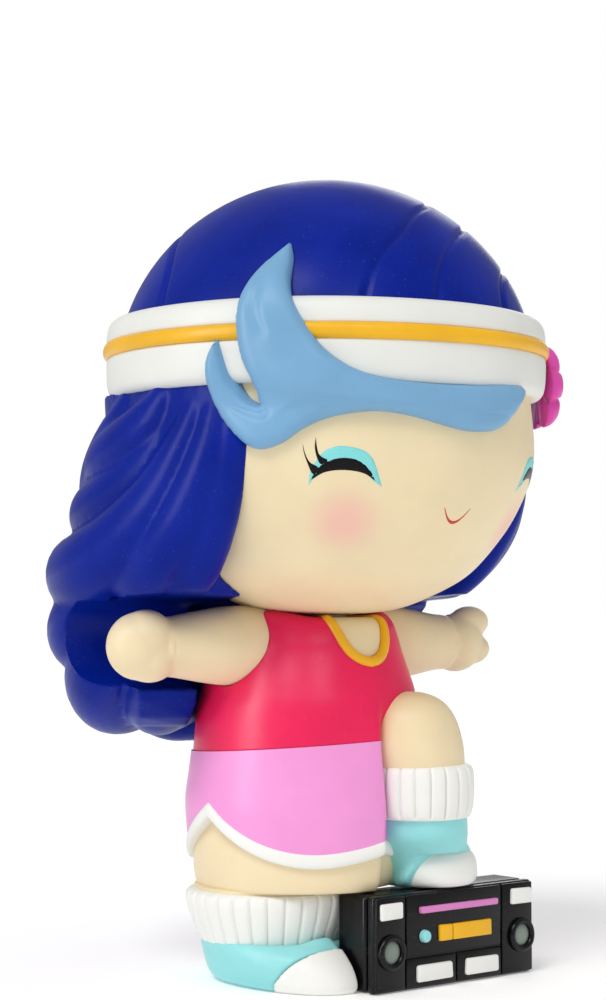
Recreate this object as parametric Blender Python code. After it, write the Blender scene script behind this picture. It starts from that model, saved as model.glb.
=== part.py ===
"""Small vinyl art toy, 80 mm tall: a chibi dancer with one foot on a portable stereo.

Units are metres, +Z is up, the figure faces -Y and its own right side is at -X.
The origin lies on the ground under the middle of the body. Lengths below are in
millimetres and are multiplied by MM once, where the mesh is made.
"""
import math

import bmesh
import bpy
from mathutils import Matrix, Vector

MM = 0.001

# Driving dimensions, in millimetres
HEIGHT = 80.0
HEAD_Y = -2.8               # the head, the band and the neck joint share this axis
DOME_MID, DOME_R = 60.0, 21.1
BAND_LOW, BAND_TOP, BAND_R = 57.8, 65.8, 22.1
RIB_LOW, RIB_TOP, RIB_R = 61.8, 63.3, 22.45
SEAT_R = 19.7               # hair under the band
SKULL_R, SKULL_TOP = 18.2, 78.0
WALL = 2.0
GAP = 0.2
NECK_R, NECK_HEAD_R = 2.1, 4.4
SHOULDER = (7.4, 0.0, 33.3)  # middle of the flat end of an arm
ARM_LEAN = {-1: 2.4 / 17.8, 1: -0.09}  # the right arm runs slightly backwards, the left forwards
SEAT_HOLE_R, PLUG_R, PLUG_HEAD_R = 4.35, 1.6, 2.05
WAIST = 23.6
STEREO = ((-3.0, -14.0, 0.0), (18.8, -7.8, 9.4))
CUFF_X, CUFF_Y, CUFF_R = -4.1, 0.9, 8.4
LEG_X, LEG_Y, LEG_R = 5.8, -10.1, 5.0

TURN = 32                   # steps of a turned shape

# Radius of the face against height, from the neck hole up to the hair line
FACE = ((2.5, 36.35), (6.7, 36.8), (10.2, 38.0), (14.3, 40.3), (17.6, 44.0),
        (19.5, 47.2), (20.6, 50.2), (20.9, 53.0), (20.75, 55.6), (20.5, 57.5))
# Radius of the tank top against height
TANK = ((6.2, 36.0), (7.6, 35.9), (8.5, 35.3), (9.1, 34.0), (9.6, 32.4), (10.6, 29.5),
        (11.2, 27.4), (11.5, 25.0), (11.6, WAIST))
# Radius of the shorts against height
SHORTS = ((11.6, WAIST - GAP), (12.1, 20.4), (12.4, 18.0), (12.3, 15.4), (12.0, 12.6))

COLOURS = {
    "skin": ((0.84, 0.70, 0.48), 0.45),
    "hair": ((0.003, 0.014, 0.27), 0.3),
    "fringe": ((0.16, 0.32, 0.60), 0.4),
    "band": ((0.80, 0.80, 0.74), 0.45),
    "yellow": ((0.85, 0.42, 0.01), 0.4),
    "flower": ((0.75, 0.06, 0.38), 0.4),
    "tank": ((0.75, 0.012, 0.09), 0.4),
    "shorts": ((0.90, 0.34, 0.70), 0.4),
    "white": ((0.85, 0.85, 0.84), 0.45),
    "aqua": ((0.34, 0.78, 0.76), 0.4),
    "stereo": ((0.006, 0.005, 0.008), 0.2),
    "pink": ((0.70, 0.16, 0.55), 0.4),
    "grey": ((0.16, 0.19, 0.18), 0.4),
    "plug": ((0.62, 0.55, 0.45), 0.5),
}


def material(name):
    """The named paint as a Principled material."""
    found = bpy.data.materials.get(name)
    if found:
        return found
    colour, roughness = COLOURS[name]
    made = bpy.data.materials.new(name)
    made.use_nodes = True
    shader = made.node_tree.nodes["Principled BSDF"]
    shader.inputs["Base Color"].default_value = (*colour, 1.0)
    shader.inputs["Roughness"].default_value = roughness
    shader.inputs["Metallic"].default_value = 0.0
    return made


def add_object(name, mesh_data, paint, parent=None):
    made = bpy.data.objects.new(name, mesh_data)
    bpy.context.scene.collection.objects.link(made)
    if paint:
        mesh_data.materials.append(material(paint))
    if parent:
        made.parent = parent
        made.matrix_parent_inverse = parent.matrix_world.inverted()
    return made


def finish_mesh(name, bm, paint, parent, sharp=40.0):
    """Millimetre bmesh to a metre object with outward faces, smooth where it is round."""
    bmesh.ops.remove_doubles(bm, verts=bm.verts, dist=1e-5)
    bmesh.ops.recalc_face_normals(bm, faces=bm.faces)
    bmesh.ops.scale(bm, vec=(MM, MM, MM), verts=bm.verts)
    data = bpy.data.meshes.new(name)
    bm.to_mesh(data)
    bm.free()
    data.shade_smooth()
    data.set_sharp_from_angle(angle=math.radians(sharp))
    return add_object(name, data, paint, parent)


def loft(name, rings, paint, parent=None, closed=False, sharp=40.0):
    """A closed solid through rings of equal length; a closed loft joins its last ring to its first."""
    bm = bmesh.new()
    made = [[bm.verts.new(point) for point in ring] for ring in rings]
    pairs = list(zip(made, made[1:]))
    if closed:
        pairs.append((made[-1], made[0]))
    for low, high in pairs:
        count = len(low)
        for i in range(count):
            j = (i + 1) % count
            bm.faces.new((low[i], low[j], high[j], high[i]))
    if not closed:
        bm.faces.new(list(reversed(made[0])))
        bm.faces.new(made[-1])
    return finish_mesh(name, bm, paint, parent, sharp)


def turned(name, profile, paint, parent=None, centre=(0.0, 0.0), steps=TURN, sharp=40.0):
    """A closed (radius, height) outline turned round a vertical axis."""
    bm = bmesh.new()
    columns = []
    poles = {i: bm.verts.new((*centre, z)) for i, (r, z) in enumerate(profile) if r == 0}
    for step in range(steps):
        turn = math.tau * step / steps
        columns.append([poles.get(i) or bm.verts.new(
            (centre[0] + r * math.cos(turn), centre[1] + r * math.sin(turn), z))
            for i, (r, z) in enumerate(profile)])
    count = len(profile)
    for step in range(steps):
        here, there = columns[step], columns[(step + 1) % steps]
        for i in range(count):
            j = (i + 1) % count
            corners = []
            for corner in (here[i], there[i], there[j], here[j]):
                if corner not in corners:
                    corners.append(corner)
            if len(corners) > 2:
                bm.faces.new(corners)
    return finish_mesh(name, bm, paint, parent, sharp)


def box(name, low, high, paint, parent=None, bevel=0.0):
    """A box with rounded edges between two corners."""
    bm = bmesh.new()
    bmesh.ops.create_cube(bm, size=1.0)
    size = [h - l for l, h in zip(low, high)]
    middle = [(h + l) / 2 for l, h in zip(low, high)]
    bmesh.ops.scale(bm, vec=size, verts=bm.verts)
    bmesh.ops.translate(bm, vec=middle, verts=bm.verts)
    if bevel:
        bmesh.ops.bevel(bm, geom=bm.edges, offset=bevel, segments=1, affect="EDGES")
    return finish_mesh(name, bm, paint, parent)


def rod(name, start, end, radius, paint, parent=None, steps=24):
    """A round rod between two points."""
    start, end = Vector(start), Vector(end)
    turn = Vector((0, 0, 1)).rotation_difference(end - start).to_matrix()
    rings = []
    for base in (start, end):
        rings.append([base + turn @ Vector((radius * math.cos(a), radius * math.sin(a), 0))
                      for a in (math.tau * i / steps for i in range(steps))])
    return loft(name, rings, paint, parent)


def as_guide(obj):
    obj.hide_render = True
    obj.display_type = "WIRE"
    obj.hide_set(True)
    return obj


def boolean(obj, other, operation):
    step = obj.modifiers.new(operation.lower() + "_" + other.name, "BOOLEAN")
    step.operation = operation
    step.solver = "EXACT"
    step.object = other
    as_guide(other)
    return obj


def at_height(profile, z):
    """The radius of a (radius, height) list at a height, by straight pieces."""
    points = sorted(profile, key=lambda point: point[1])
    if z <= points[0][1]:
        return points[0][0]
    for (r0, z0), (r1, z1) in zip(points, points[1:]):
        if z <= z1:
            return r0 + (r1 - r0) * (z - z0) / (z1 - z0)
    return points[-1][0]


def dome(radius, top, start, steps=7):
    """Points of an elliptic dome about DOME_MID, from height start up to its pole."""
    first = math.asin((start - DOME_MID) / (top - DOME_MID))
    turns = [first + (math.pi / 2 - first) * i / steps for i in range(steps)]
    points = [(radius * math.cos(a), DOME_MID + (top - DOME_MID) * math.sin(a)) for a in turns]
    return points + [(0.0, top)]


def head_point(turn_deg, radius, z):
    """A point round the head's axis; 0 degrees is the front and + is its left."""
    turn = math.radians(turn_deg)
    return (radius * math.sin(turn), HEAD_Y - radius * math.cos(turn), z)


def empty(name, place):
    made = bpy.data.objects.new(name, None)
    made.empty_display_size = 5 * MM
    made.location = Vector(place) * MM
    bpy.context.scene.collection.objects.link(made)
    bpy.context.view_layer.update()
    return made


# Head

def make_head(parent):
    axis = (0.0, HEAD_Y)
    inner = [(max(r - WALL, 2.5), z + WALL * 0.9) for r, z in FACE[1:5]]
    inner += [(r - WALL, z) for r, z in FACE[5:-1]]
    skull = dome(SKULL_R, SKULL_TOP, DOME_MID)
    hollow = dome(SKULL_R - WALL, SKULL_TOP - WALL, DOME_MID)
    outline = list(FACE) + [(SKULL_R, FACE[-1][1])] + skull
    outline += list(reversed(hollow)) + list(reversed(inner)) + [(2.5, 38.6)]
    turned("head_shell", outline, "skin", parent, axis)

    hair = [(SEAT_R, 58.0), (SEAT_R, BAND_TOP + GAP)] + dome(DOME_R, HEIGHT, BAND_TOP + 0.3)
    lining = dome(SKULL_R + GAP, SKULL_TOP + GAP, DOME_MID)
    outline = hair + list(reversed(lining)) + [(SKULL_R + GAP, 58.0)]
    turned("hair_cap", outline, "hair", parent, axis)

    inside = SEAT_R + GAP
    band = [(inside, BAND_LOW + 0.1), (21.5, BAND_LOW), (22.0, 58.9), (BAND_R, 60.4),
            (BAND_R, RIB_LOW - GAP), (BAND_R - 0.4, RIB_LOW - GAP), (BAND_R - 0.4, RIB_TOP + GAP),
            (BAND_R, RIB_TOP + GAP), (BAND_R, 64.3), (21.8, 65.3), (21.2, BAND_TOP),
            (inside, BAND_TOP)]
    turned("headband", band, "band", parent, axis)
    rib = [(BAND_R - 0.3, RIB_LOW), (RIB_R - 0.15, RIB_LOW), (RIB_R, (RIB_LOW + RIB_TOP) / 2),
           (RIB_R - 0.15, RIB_TOP), (BAND_R - 0.3, RIB_TOP)]
    turned("headband_stripe", rib, "yellow", parent, axis)


FRINGE = ((17, 58.2), (10, 55), (0, 53.8), (-9, 54.1), (-18, 54.8), (-26, 55.2), (-33, 55.1),
          (-41, 54.5), (-47, 53.6), (-52, 52.3), (-58, 51.8), (-63, 52.7), (-68.5, 55),
          (-70.5, 58), (-67.6, 61.8), (-65, 60), (-61.8, 57.2), (-56.5, 56.2), (-58.3, 58.2),
          (-61.3, 60.2), (-62.4, 63.1), (-61.5, 66), (-57, 68.6), (-51, 70.6), (-49.8, 67.4),
          (-49, 65.3), (-45.7, 63.1), (-41.4, 60.8), (-35, 59.1), (-26.5, 58.3), (-15, 57.9),
          (-1.5, 58))


def fringe_base(z):
    """The radius that the fringe lies on: face, then band, then dome."""
    face = at_height(FACE, z)
    hair = DOME_R * math.sqrt(max(0.0, 1 - ((z - DOME_MID) / (HEIGHT - DOME_MID)) ** 2))
    rise = min(max((z - 56.2) / 1.4, 0.0), 1.0)
    fall = min(max((z - 66.8) / 1.2, 0.0), 1.0)
    return (face * (1 - rise) + RIB_R * rise) * (1 - fall) + max(hair, 12.0) * fall


def make_fringe(parent):
    heights = [50.5, 52, 53.5, 55, 56.2, 57.0, 57.6, 59.5, 61.5, 63.5, 65.5, 66.8, 67.4, 68, 70, 72]
    turns = [-76 + 4 * i for i in range(25)]
    rings = []
    for turn in turns:
        low = [head_point(turn, fringe_base(z) + GAP, z) for z in heights]
        high = [head_point(turn, fringe_base(z) + 1.8, z) for z in reversed(heights)]
        rings.append(low + high)
    slab = loft("hair_fringe", rings, "fringe", parent)
    stencil = loft("fringe_outline", [[head_point(turn, r, z) for turn, z in FRINGE]
                                      for r in (10.0, 30.0)], None, parent)
    boolean(slab, stencil, "INTERSECT")


def make_flower(parent):
    """A clip of six round petals on the left of the band, with a raised middle."""
    middle = Vector(head_point(63, RIB_R + 0.25, 59.7))
    out = Vector((math.sin(math.radians(63)), -math.cos(math.radians(63)), 0))
    side = Vector((0, 0, 1)).cross(out)
    steps = 36
    rings = []
    for depth, reach in ((0.0, 0.86), (0.5, 1.0), (1.2, 0.97), (1.7, 0.8)):
        ring = []
        for i in range(steps):
            turn = math.tau * i / steps
            radius = reach * 4.9 * (0.80 + 0.20 * abs(math.cos(3 * turn)) ** 0.7)
            ring.append(middle + out * depth + side * radius * math.cos(turn)
                        + Vector((0, 0, 1)) * radius * math.sin(turn))
        rings.append(ring)
    loft("flower_petals", rings, "flower", parent)
    rings = []
    for depth, radius in ((1.85, 1.5), (2.2, 1.5), (2.5, 1.1), (2.65, 0.5)):
        rings.append([middle + out * depth + side * radius * math.cos(math.tau * i / 16)
                      + Vector((0, 0, 1)) * radius * math.sin(math.tau * i / 16)
                      for i in range(16)])
    loft("flower_centre", rings, "yellow", parent)


# Height, first angle from the front, radius at the side and radius at the back
BACK_HAIR = ((57.55, 73, 21.5, 21.6), (54.0, 73, 22.1, 22.8), (50.4, 64, 22.8, 24.6),
             (46.3, 63, 23.3, 26.6), (43.0, 69, 23.2, 28.8), (40.0, 80, 23.0, 31.0),
             (38.3, 84, 22.5, 31.0), (38.1, 126, 22.4, 30.9), (36.2, 127, 22.0, 30.2),
             (34.3, 128, 22.2, 30.6), (31.0, 130, 20.6, 29.6), (28.0, 134, 19.0, 28.4),
             (25.4, 140, 15.6, 24.2), (23.0, 150, 11.2, 20.6))
HAIR_THICK = 5.0
HAIR_STEPS = 26


def back_hair_radius(turn_deg, side, back):
    turn = math.radians(turn_deg)
    if turn_deg < 90 or turn_deg > 270:
        return side
    power = 2.8
    return ((abs(math.sin(turn)) / side) ** power
            + (abs(math.cos(turn)) / back) ** power) ** (-1 / power)


def make_back_hair(parent):
    """One curtain of long hair, hollow towards the head and the back."""
    rings = []
    for z, first, side, back in BACK_HAIR:
        turns = [first + (360 - 2 * first) * i / HAIR_STEPS for i in range(HAIR_STEPS + 1)]
        outer, inner = [], []
        for turn in turns:
            edge = min(turn - first, 360 - first - turn)
            full = back_hair_radius(turn, side, back)
            ease = min(edge / 24.0, 1.0)
            under = (at_height(FACE, z) if z > 38.2 else 0.0) + GAP * 1.5
            inside = max(under, full - 0.9 - (HAIR_THICK - 0.9) * ease)
            outside = max(full - 2.2 * (1 - ease) ** 2 * (z > 38.2), inside + 0.5)
            outer.append(head_point(turn, outside, z))
            inner.append(head_point(turn, inside, z))
        rings.append(outer + list(reversed(inner)))
    loft("hair_back", rings, "hair", parent)


# Body

def make_neck(parent):
    """A mushroom plug that the head snaps over."""
    profile = [(0.0, 33.2), (NECK_R, 33.2), (NECK_R, 38.8), (NECK_HEAD_R, 38.8),
               (NECK_HEAD_R, 39.6), (3.2, 40.6), (0.0, 40.6)]
    turned("neck_plug", profile, "plug", parent, (0.0, HEAD_Y), 24)


def neckline(half, low, name):
    """A U-shaped stencil cut straight back into the chest."""
    arc = [(half * math.cos(a), low + half * (1 + math.sin(a)))
           for a in (-math.pi * i / 12 for i in range(13))]
    outline = [(half * 1.12, 37.5)] + arc + [(-half * 1.12, 37.5)]
    return loft(name, [[(x, y, z) for x, z in outline] for y in (-14.0, -5.3)], None)


def chest_ring(name, inner, outer, paint, parent):
    """A ring that follows the tank top's surface, between two offsets from it."""
    heights = (35.55, 35.1, 33.5, 32.0, 30.2)
    profile = [(at_height(TANK, z) + outer, z) for z in heights]
    profile += [(at_height(TANK, z) + inner, z) for z in reversed(heights)]
    return turned(name, profile, paint, parent)


def make_torso(parent):
    inside = [(9.6, WAIST), (9.4, 25.0), (5.4, 28.4), (5.4, 34.3), (0.0, 34.3)]
    outline = [(0.0, 35.9)] + list(TANK) + inside
    torso = turned("torso_shell", outline, "tank", parent)
    boolean(torso, neckline(4.0, 31.2, "neckline_cut"), "DIFFERENCE")
    for side in (-1, 1):
        base = Vector((side * SHOULDER[0], 0, SHOULDER[2]))
        out = Vector((side, ARM_LEAN[side], 0))
        boolean(torso, rod(f"arm_seat_{side}", base - out * 0.1, base + out * 6, SEAT_HOLE_R, None),
                "DIFFERENCE")
        boolean(torso, rod(f"arm_hole_{side}", base - out * 4, base + out, PLUG_R + GAP, None),
                "DIFFERENCE")
        boolean(torso, rod(f"plug_room_{side}", base - out * 4.5, base - out * 2.9,
                           PLUG_HEAD_R + GAP, None), "DIFFERENCE")
    boolean(torso, rod("neck_hole", (0, HEAD_Y, 33), (0, HEAD_Y, 37), NECK_R + GAP / 2, None),
            "DIFFERENCE")

    chest = chest_ring("chest_panel", -2.6, -0.35, "skin", parent)
    boolean(chest, neckline(2.9, 32.3, "chest_outline"), "INTERSECT")
    trim = chest_ring("neckline_trim", -2.6, 0.35, "yellow", parent)
    boolean(trim, neckline(3.9, 31.3, "trim_outline"), "INTERSECT")
    boolean(trim, neckline(3.0, 32.2, "trim_inner"), "DIFFERENCE")


def hem(turn_deg):
    """Height of the shorts' lower edge; it rises to a point at each hip."""
    off = min(abs(turn_deg - 90), abs(turn_deg + 90), abs(turn_deg - 270))
    notch = max(0.0, 1 - off / 42.0)
    return 12.1 + 4.4 * notch ** 1.5


def around(name, levels, paint, parent):
    """A closed sleeve: for each angle, levels(angle) gives its closed (radius, height) outline."""
    steps = 48
    rings = []
    for i in range(steps):
        turn_deg = -180 + 360 * i / steps
        turn = math.radians(turn_deg)
        rings.append([(r * math.sin(turn), -r * math.cos(turn), z) for r, z in levels(turn_deg)])
    return loft(name, rings, paint, parent, closed=True)


def make_shorts(parent):
    inner = 11.15
    trim = 1.4

    def cloth(turn_deg):
        low = hem(turn_deg) + trim + GAP / 2
        heights = [low + (WAIST - GAP - low) * i / 4 for i in range(5)]
        outer = [(at_height(SHORTS, z), z) for z in reversed(heights)]
        return outer + [(inner, z) for z in heights]

    def edge(turn_deg):
        low = hem(turn_deg)
        top = low + trim
        swell = at_height(SHORTS, low) + 0.4
        return [(swell - 0.3, top), (swell, top - 0.4), (swell, low + 0.4), (swell - 0.3, low),
                (inner, low), (inner, top)]

    around("shorts_shell", cloth, "shorts", parent)
    around("shorts_trim", edge, "white", parent)


def circle(x, y, radius, z, steps=32):
    return [(x + radius * math.cos(a), y + radius * math.sin(a), z)
            for a in (math.tau * i / steps for i in range(steps))]


def make_hips(parent):
    rings = [circle(-3.7, 0.4, 8.2, 9.4), circle(-1.0, 0.1, 10.3, 9.7), circle(-0.3, 0, 10.8, 10.4),
             circle(0, 0, 10.95, 11.8), circle(0, 0, 10.95, 18), circle(0, 0, 10.9, WAIST - GAP),
             circle(0, 0, 7.5, WAIST - GAP), circle(0, 0, 7.5, 14)]
    loft("hips", rings, "skin", parent)


def ribbed(x, y, radius, z, ribs, depth):
    steps = ribs * 2
    ring = []
    for i in range(steps):
        turn = math.tau * i / steps
        r = radius + depth * (1 - 2 * (i % 2))
        ring.append((x + r * math.cos(turn), y + r * math.sin(turn), z))
    return ring


def make_cuff(name, x, y, radius, low, high, ribs, parent):
    """A sock cuff with upright ribs and a rounded top and bottom edge."""
    tall = high - low
    shape = ((0.0, 0.93), (0.12, 0.985), (0.5, 1.0), (0.88, 0.985), (1.0, 0.93))
    rings = [ribbed(x, y, radius * swell, low + tall * part, ribs, 0.12) for part, swell in shape]
    return loft(name, rings, "white", parent)


def foot_ring(x, heel, toe, half, z, steps=28):
    """A rounded sole outline from heel to toe; it is a little narrower at the toe."""
    middle, reach = (heel + toe) / 2, (heel - toe) / 2
    ring = []
    for i in range(steps):
        turn = math.tau * i / steps
        along = math.sin(turn)
        width = half * (1 + 0.10 * along)
        ring.append((x + width * math.copysign(abs(math.cos(turn)) ** 0.85, math.cos(turn)),
                     middle + reach * along, z))
    return ring


def slab(name, y_low, y_high):
    return box(name, (-40, y_low, -5), (40, y_high, 45), None)


def make_right_foot(parent):
    make_cuff("right_sock_cuff", CUFF_X, CUFF_Y, CUFF_R, 4.4, 9.2, 42, parent)
    rings = [foot_ring(-4.8, 7.2, -11.2, 6.5, 0.0), foot_ring(-4.8, 7.5, -11.5, 6.9, 0.7),
             foot_ring(-4.7, 7.5, -11.2, 7.1, 2.2), foot_ring(-4.6, 7.4, -9.6, 7.1, 3.3),
             foot_ring(-4.5, 7.2, -8.2, 7.0, 4.2)]
    shoe = loft("right_shoe", rings, "aqua", parent)
    toe = loft("right_toe_cap", rings, "white", parent)
    low, high = STEREO
    keep = [box(f"stereo_room_{i}", (low[0] - GAP, low[1] - 2, -1), (high[0], high[1] + GAP, 11),
                None) for i in range(2)]
    for piece, room in zip((shoe, toe), keep):
        boolean(piece, room, "DIFFERENCE")
    boolean(shoe, slab("behind_right_toe", -6.9, 20), "INTERSECT")
    boolean(toe, slab("before_right_toe", -20, -7.1), "INTERSECT")


def body_room(name):
    """The space of the body and its shorts, with a little clearance, cut out of the raised leg."""
    profile = [(0.0, 36.5)] + [(r + 0.3, z) for r, z in TANK[2:-1]]
    profile += [(12.0, 23.8), (12.9, 20.4), (13.2, 18), (12.9, 11.8), (11.4, 11.7), (11.3, 9.0),
                (0.0, 9.0)]
    return turned(name, profile, None)


def make_left_leg(parent):
    x, y = LEG_X, LEG_Y
    knee = [circle(x, y, LEG_R * math.cos(a), 23.9 + 4.8 * math.sin(a), 28)
            for a in (math.radians(t) for t in (0, 18, 36, 54, 70, 82))]
    knee = [circle(x, y, LEG_R - 0.3, 21.6, 28)] + knee
    pieces = [loft("left_knee", knee, "skin", parent),
              make_cuff("left_sock_cuff", x, y, 5.4, 16.7, 21.5, 28, parent)]
    deck = STEREO[1][2] + 0.1
    ankle = [foot_ring(8.2, -4.2, -13.6, 4.5, deck), foot_ring(8.2, -4.0, -13.8, 4.7, deck + 0.6),
             foot_ring(8.0, -4.2, -13.7, 4.8, deck + 1.8), foot_ring(7.3, -4.6, -13.8, 4.7, 12.4),
             foot_ring(6.5, -5.2, -14.2, 4.6, 14.2), foot_ring(5.9, -5.6, -14.6, 4.5, 16.6)]
    shoe = loft("left_shoe", ankle, "aqua", parent)
    tip = [foot_ring(8.2, -4.2, -13.6, 4.5, deck), foot_ring(8.2, -4.0, -13.8, 4.7, deck + 0.6),
           foot_ring(8.2, -4.2, -13.6, 4.6, deck + 1.8), foot_ring(8.2, -4.4, -12.7, 4.0, 12.3)]
    toe = loft("left_toe_cap", tip, "white", parent)
    pieces += [shoe, toe]
    for piece in pieces:
        boolean(piece, body_room("room_" + piece.name), "DIFFERENCE")
    wedge = [[(-5, -22, 9), (-5, -10.3, 9), (-5, -11.9, 12.7), (-5, -22, 12.7)],
             [(25, -22, 9), (25, -10.3, 9), (25, -11.9, 12.7), (25, -22, 12.7)]]
    boolean(toe, loft("left_toe_room", wedge, None), "INTERSECT")
    room = [[(px, py + 0.15, pz + 0.15 * (pz > 10)) for px, py, pz in ring] for ring in wedge]
    boolean(shoe, loft("left_toe_cut", room, None), "DIFFERENCE")


# Arms

# Distance along the arm and its radius
ARM = ((0.0, 4.0), (2.5, 3.95), (5.5, 3.6), (8.0, 3.15), (9.8, 2.9), (11.0, 3.05), (12.2, 3.4),
       (13.6, 3.4), (14.8, 2.9), (15.6, 2.0), (16.0, 0.9))


def make_arm(side, parent):
    """One arm with its mitten hand, thumb up, and the plug that turns in the shoulder."""
    base = Vector((side * SHOULDER[0], 0, SHOULDER[2]))
    out = Vector((side, ARM_LEAN[side], 0)).normalized()
    turn = Vector((0, 0, 1)).rotation_difference(out).to_matrix()
    stations = [(-4.2, PLUG_HEAD_R * 0.8), (-3.9, PLUG_HEAD_R), (-3.2, PLUG_HEAD_R),
                (-3.2, PLUG_R), (0.15, PLUG_R), (0.15, 3.85)] + [(d + 0.3, r) for d, r in ARM]
    steps = 20
    rings = []
    for along, radius in stations:
        middle = base + out * along
        rings.append([middle + turn @ Vector((radius * math.cos(a), radius * math.sin(a), 0))
                      for a in (math.tau * i / steps for i in range(steps))])
    name = "right_arm" if side < 0 else "left_arm"
    arm = loft(name, rings, "skin", parent)
    thumb = bmesh.new()
    place = Matrix.Translation(base + out * 12.9 + Vector((0, -0.9, 1.8)))
    bmesh.ops.create_uvsphere(thumb, u_segments=12, v_segments=8, radius=1.0,
                              matrix=place @ Matrix.Diagonal((1.9, 1.7, 2.2, 1.0)))
    boolean(arm, finish_mesh(name + "_thumb", thumb, None, parent), "UNION")


# Stereo

def make_stereo(parent):
    (x0, y0, z0), (x1, y1, z1) = STEREO
    box("stereo_body", (x0, y0 + 2.1, z0), (x1, y1, z1), "stereo", parent, 0.35)
    panel = y0 + 0.5
    box("stereo_front", (x0 + 0.1, panel, z0 + 0.15), (x1 - 0.1, y0 + 1.95, z1 - 0.1),
        "stereo", parent, 0.15)
    face = panel - 0.08
    low, high = z0 + 7.1, z0 + 8.65
    for label, x in zip(("right", "left"), (x0 + 2.1, x1 - 2.1)):
        ring = rod(f"{label}_speaker_ring", (x, face, z0 + 3.95), (x, y0, z0 + 3.95), 1.75,
                   "stereo", parent)
        rod(f"{label}_speaker_cone", (x, face, z0 + 3.95), (x, y0 + 0.12, z0 + 3.95), 1.05,
            "grey", parent)
        hole = rod(f"{label}_ring_hole", (x, face + 0.5, z0 + 3.95), (x, y0 - 0.5, z0 + 3.95),
                   1.2, None, parent)
        boolean(ring, hole, "DIFFERENCE")
        box(f"{label}_deck_window", (x - 1.5, y0, low), (x + 1.5, face, high), "white", parent,
            0.12)
    box("tuner_strip", (x0 + 5.8, y0, z0 + 7.3), (x1 - 5.3, face, z0 + 8.0), "pink", parent, 0.12)
    box("cassette_window", (x0 + 8.4, y0, z0 + 4.4), (x1 - 6.3, face, z0 + 6.0), "yellow", parent,
        0.12)
    knob = (x0 + 6.5, z0 + 5.1)
    rod("tuning_knob", (knob[0], face, knob[1]), (knob[0], y0, knob[1]), 0.6, "aqua", parent, 16)
    for label, start, end in (("right", 5.4, 10.1), ("left", 12.0, 16.5)):
        box(f"{label}_piano_key", (x0 + start, y0, z0 + 0.75), (x0 + end, face, z0 + 2.35),
            "white", parent, 0.12)


def main():
    for obj in list(bpy.data.objects):
        bpy.data.objects.remove(obj)
    body = empty("body_frame", (0, 0, 0))
    head = empty("neck_axis", (0, HEAD_Y, 36))
    right = empty("right_shoulder_axis", (-SHOULDER[0], 0, SHOULDER[2]))
    left = empty("left_shoulder_axis", SHOULDER)
    make_head(head)
    make_fringe(head)
    make_flower(head)
    make_back_hair(head)
    make_neck(body)
    make_torso(body)
    make_shorts(body)
    make_hips(body)
    make_right_foot(body)
    make_left_leg(body)
    make_arm(-1, right)
    make_arm(1, left)
    make_stereo(body)


main()
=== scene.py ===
"""Looks of the small vinyl dancer figure: sculpted surfaces and hand-painted finishes.

Lengths are in millimetres in this script's own functions and turn into metres where a mesh is made.
"""
import math

import bmesh
import bpy
import numpy as np
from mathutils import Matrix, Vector, geometry


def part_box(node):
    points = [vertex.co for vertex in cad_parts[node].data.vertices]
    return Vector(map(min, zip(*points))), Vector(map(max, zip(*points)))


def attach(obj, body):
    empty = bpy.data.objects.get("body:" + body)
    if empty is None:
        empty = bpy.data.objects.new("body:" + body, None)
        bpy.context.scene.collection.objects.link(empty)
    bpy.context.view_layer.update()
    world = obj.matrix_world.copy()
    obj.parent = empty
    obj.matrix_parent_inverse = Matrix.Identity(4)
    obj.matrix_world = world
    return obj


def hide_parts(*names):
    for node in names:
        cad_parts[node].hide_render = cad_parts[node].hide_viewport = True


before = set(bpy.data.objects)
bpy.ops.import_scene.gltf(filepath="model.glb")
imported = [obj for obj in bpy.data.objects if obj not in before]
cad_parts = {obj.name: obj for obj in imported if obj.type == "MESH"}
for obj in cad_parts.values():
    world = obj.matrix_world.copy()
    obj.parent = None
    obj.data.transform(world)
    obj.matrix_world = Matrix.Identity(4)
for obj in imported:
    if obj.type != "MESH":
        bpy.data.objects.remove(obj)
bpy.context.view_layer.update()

MM = 0.001
UP = Vector((0, 0, 1))
WELD = 1e-7                            # metres; corners closer than this become one


def node_box(name):
    """Lowest and highest corner of a CAD node in millimetres."""
    low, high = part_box(name)
    return low / MM, high / MM


def middle(name):
    low, high = node_box(name)
    return (low + high) / 2


def half_width(name):
    low, high = node_box(name)
    return (high.x - low.x) / 2


# Places and sizes that come from the frame

HEAD_Y = middle("head_shell").y
FACE_R, BAND_R, RIB_R = map(half_width, ("head_shell", "headband", "headband_stripe"))
TOP_Z = node_box("hair_cap")[1].z
BAND_LOW, BAND_TOP = (corner.z for corner in node_box("headband"))
RIB_LOW, RIB_TOP = (corner.z for corner in node_box("headband_stripe"))
DOME_MID = 60.0
DOME_R = 21.1
WAIST = node_box("torso_shell")[0].z
SHOULDER_Z = 33.3
SHOULDER_X = 7.4
ARM_LEAN = {-1: 2.4 / 17.8, 1: -0.09}

# Radius of the face against height, from the neck up to the hair line
FACE = ((2.2, 36.3), (6.7, 36.8), (10.2, 38.0), (14.3, 40.3), (17.6, 44.0), (19.5, 47.2),
        (20.6, 50.2), (20.9, 53.0), (20.75, 55.6), (20.5, 58.2))
TANK = ((4.8, 36.1), (6.6, 36.15), (7.8, 35.95), (8.6, 35.3), (9.15, 34.0), (9.6, 32.4), (10.6, 29.5),
        (11.2, 27.4), (11.5, 25.0), (11.62, WAIST))
SHORTS = ((11.7, WAIST), (12.1, 20.4), (12.4, 18.0), (12.3, 15.4), (12.0, 12.6), (11.8, 11.0))


# Mesh helpers

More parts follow.
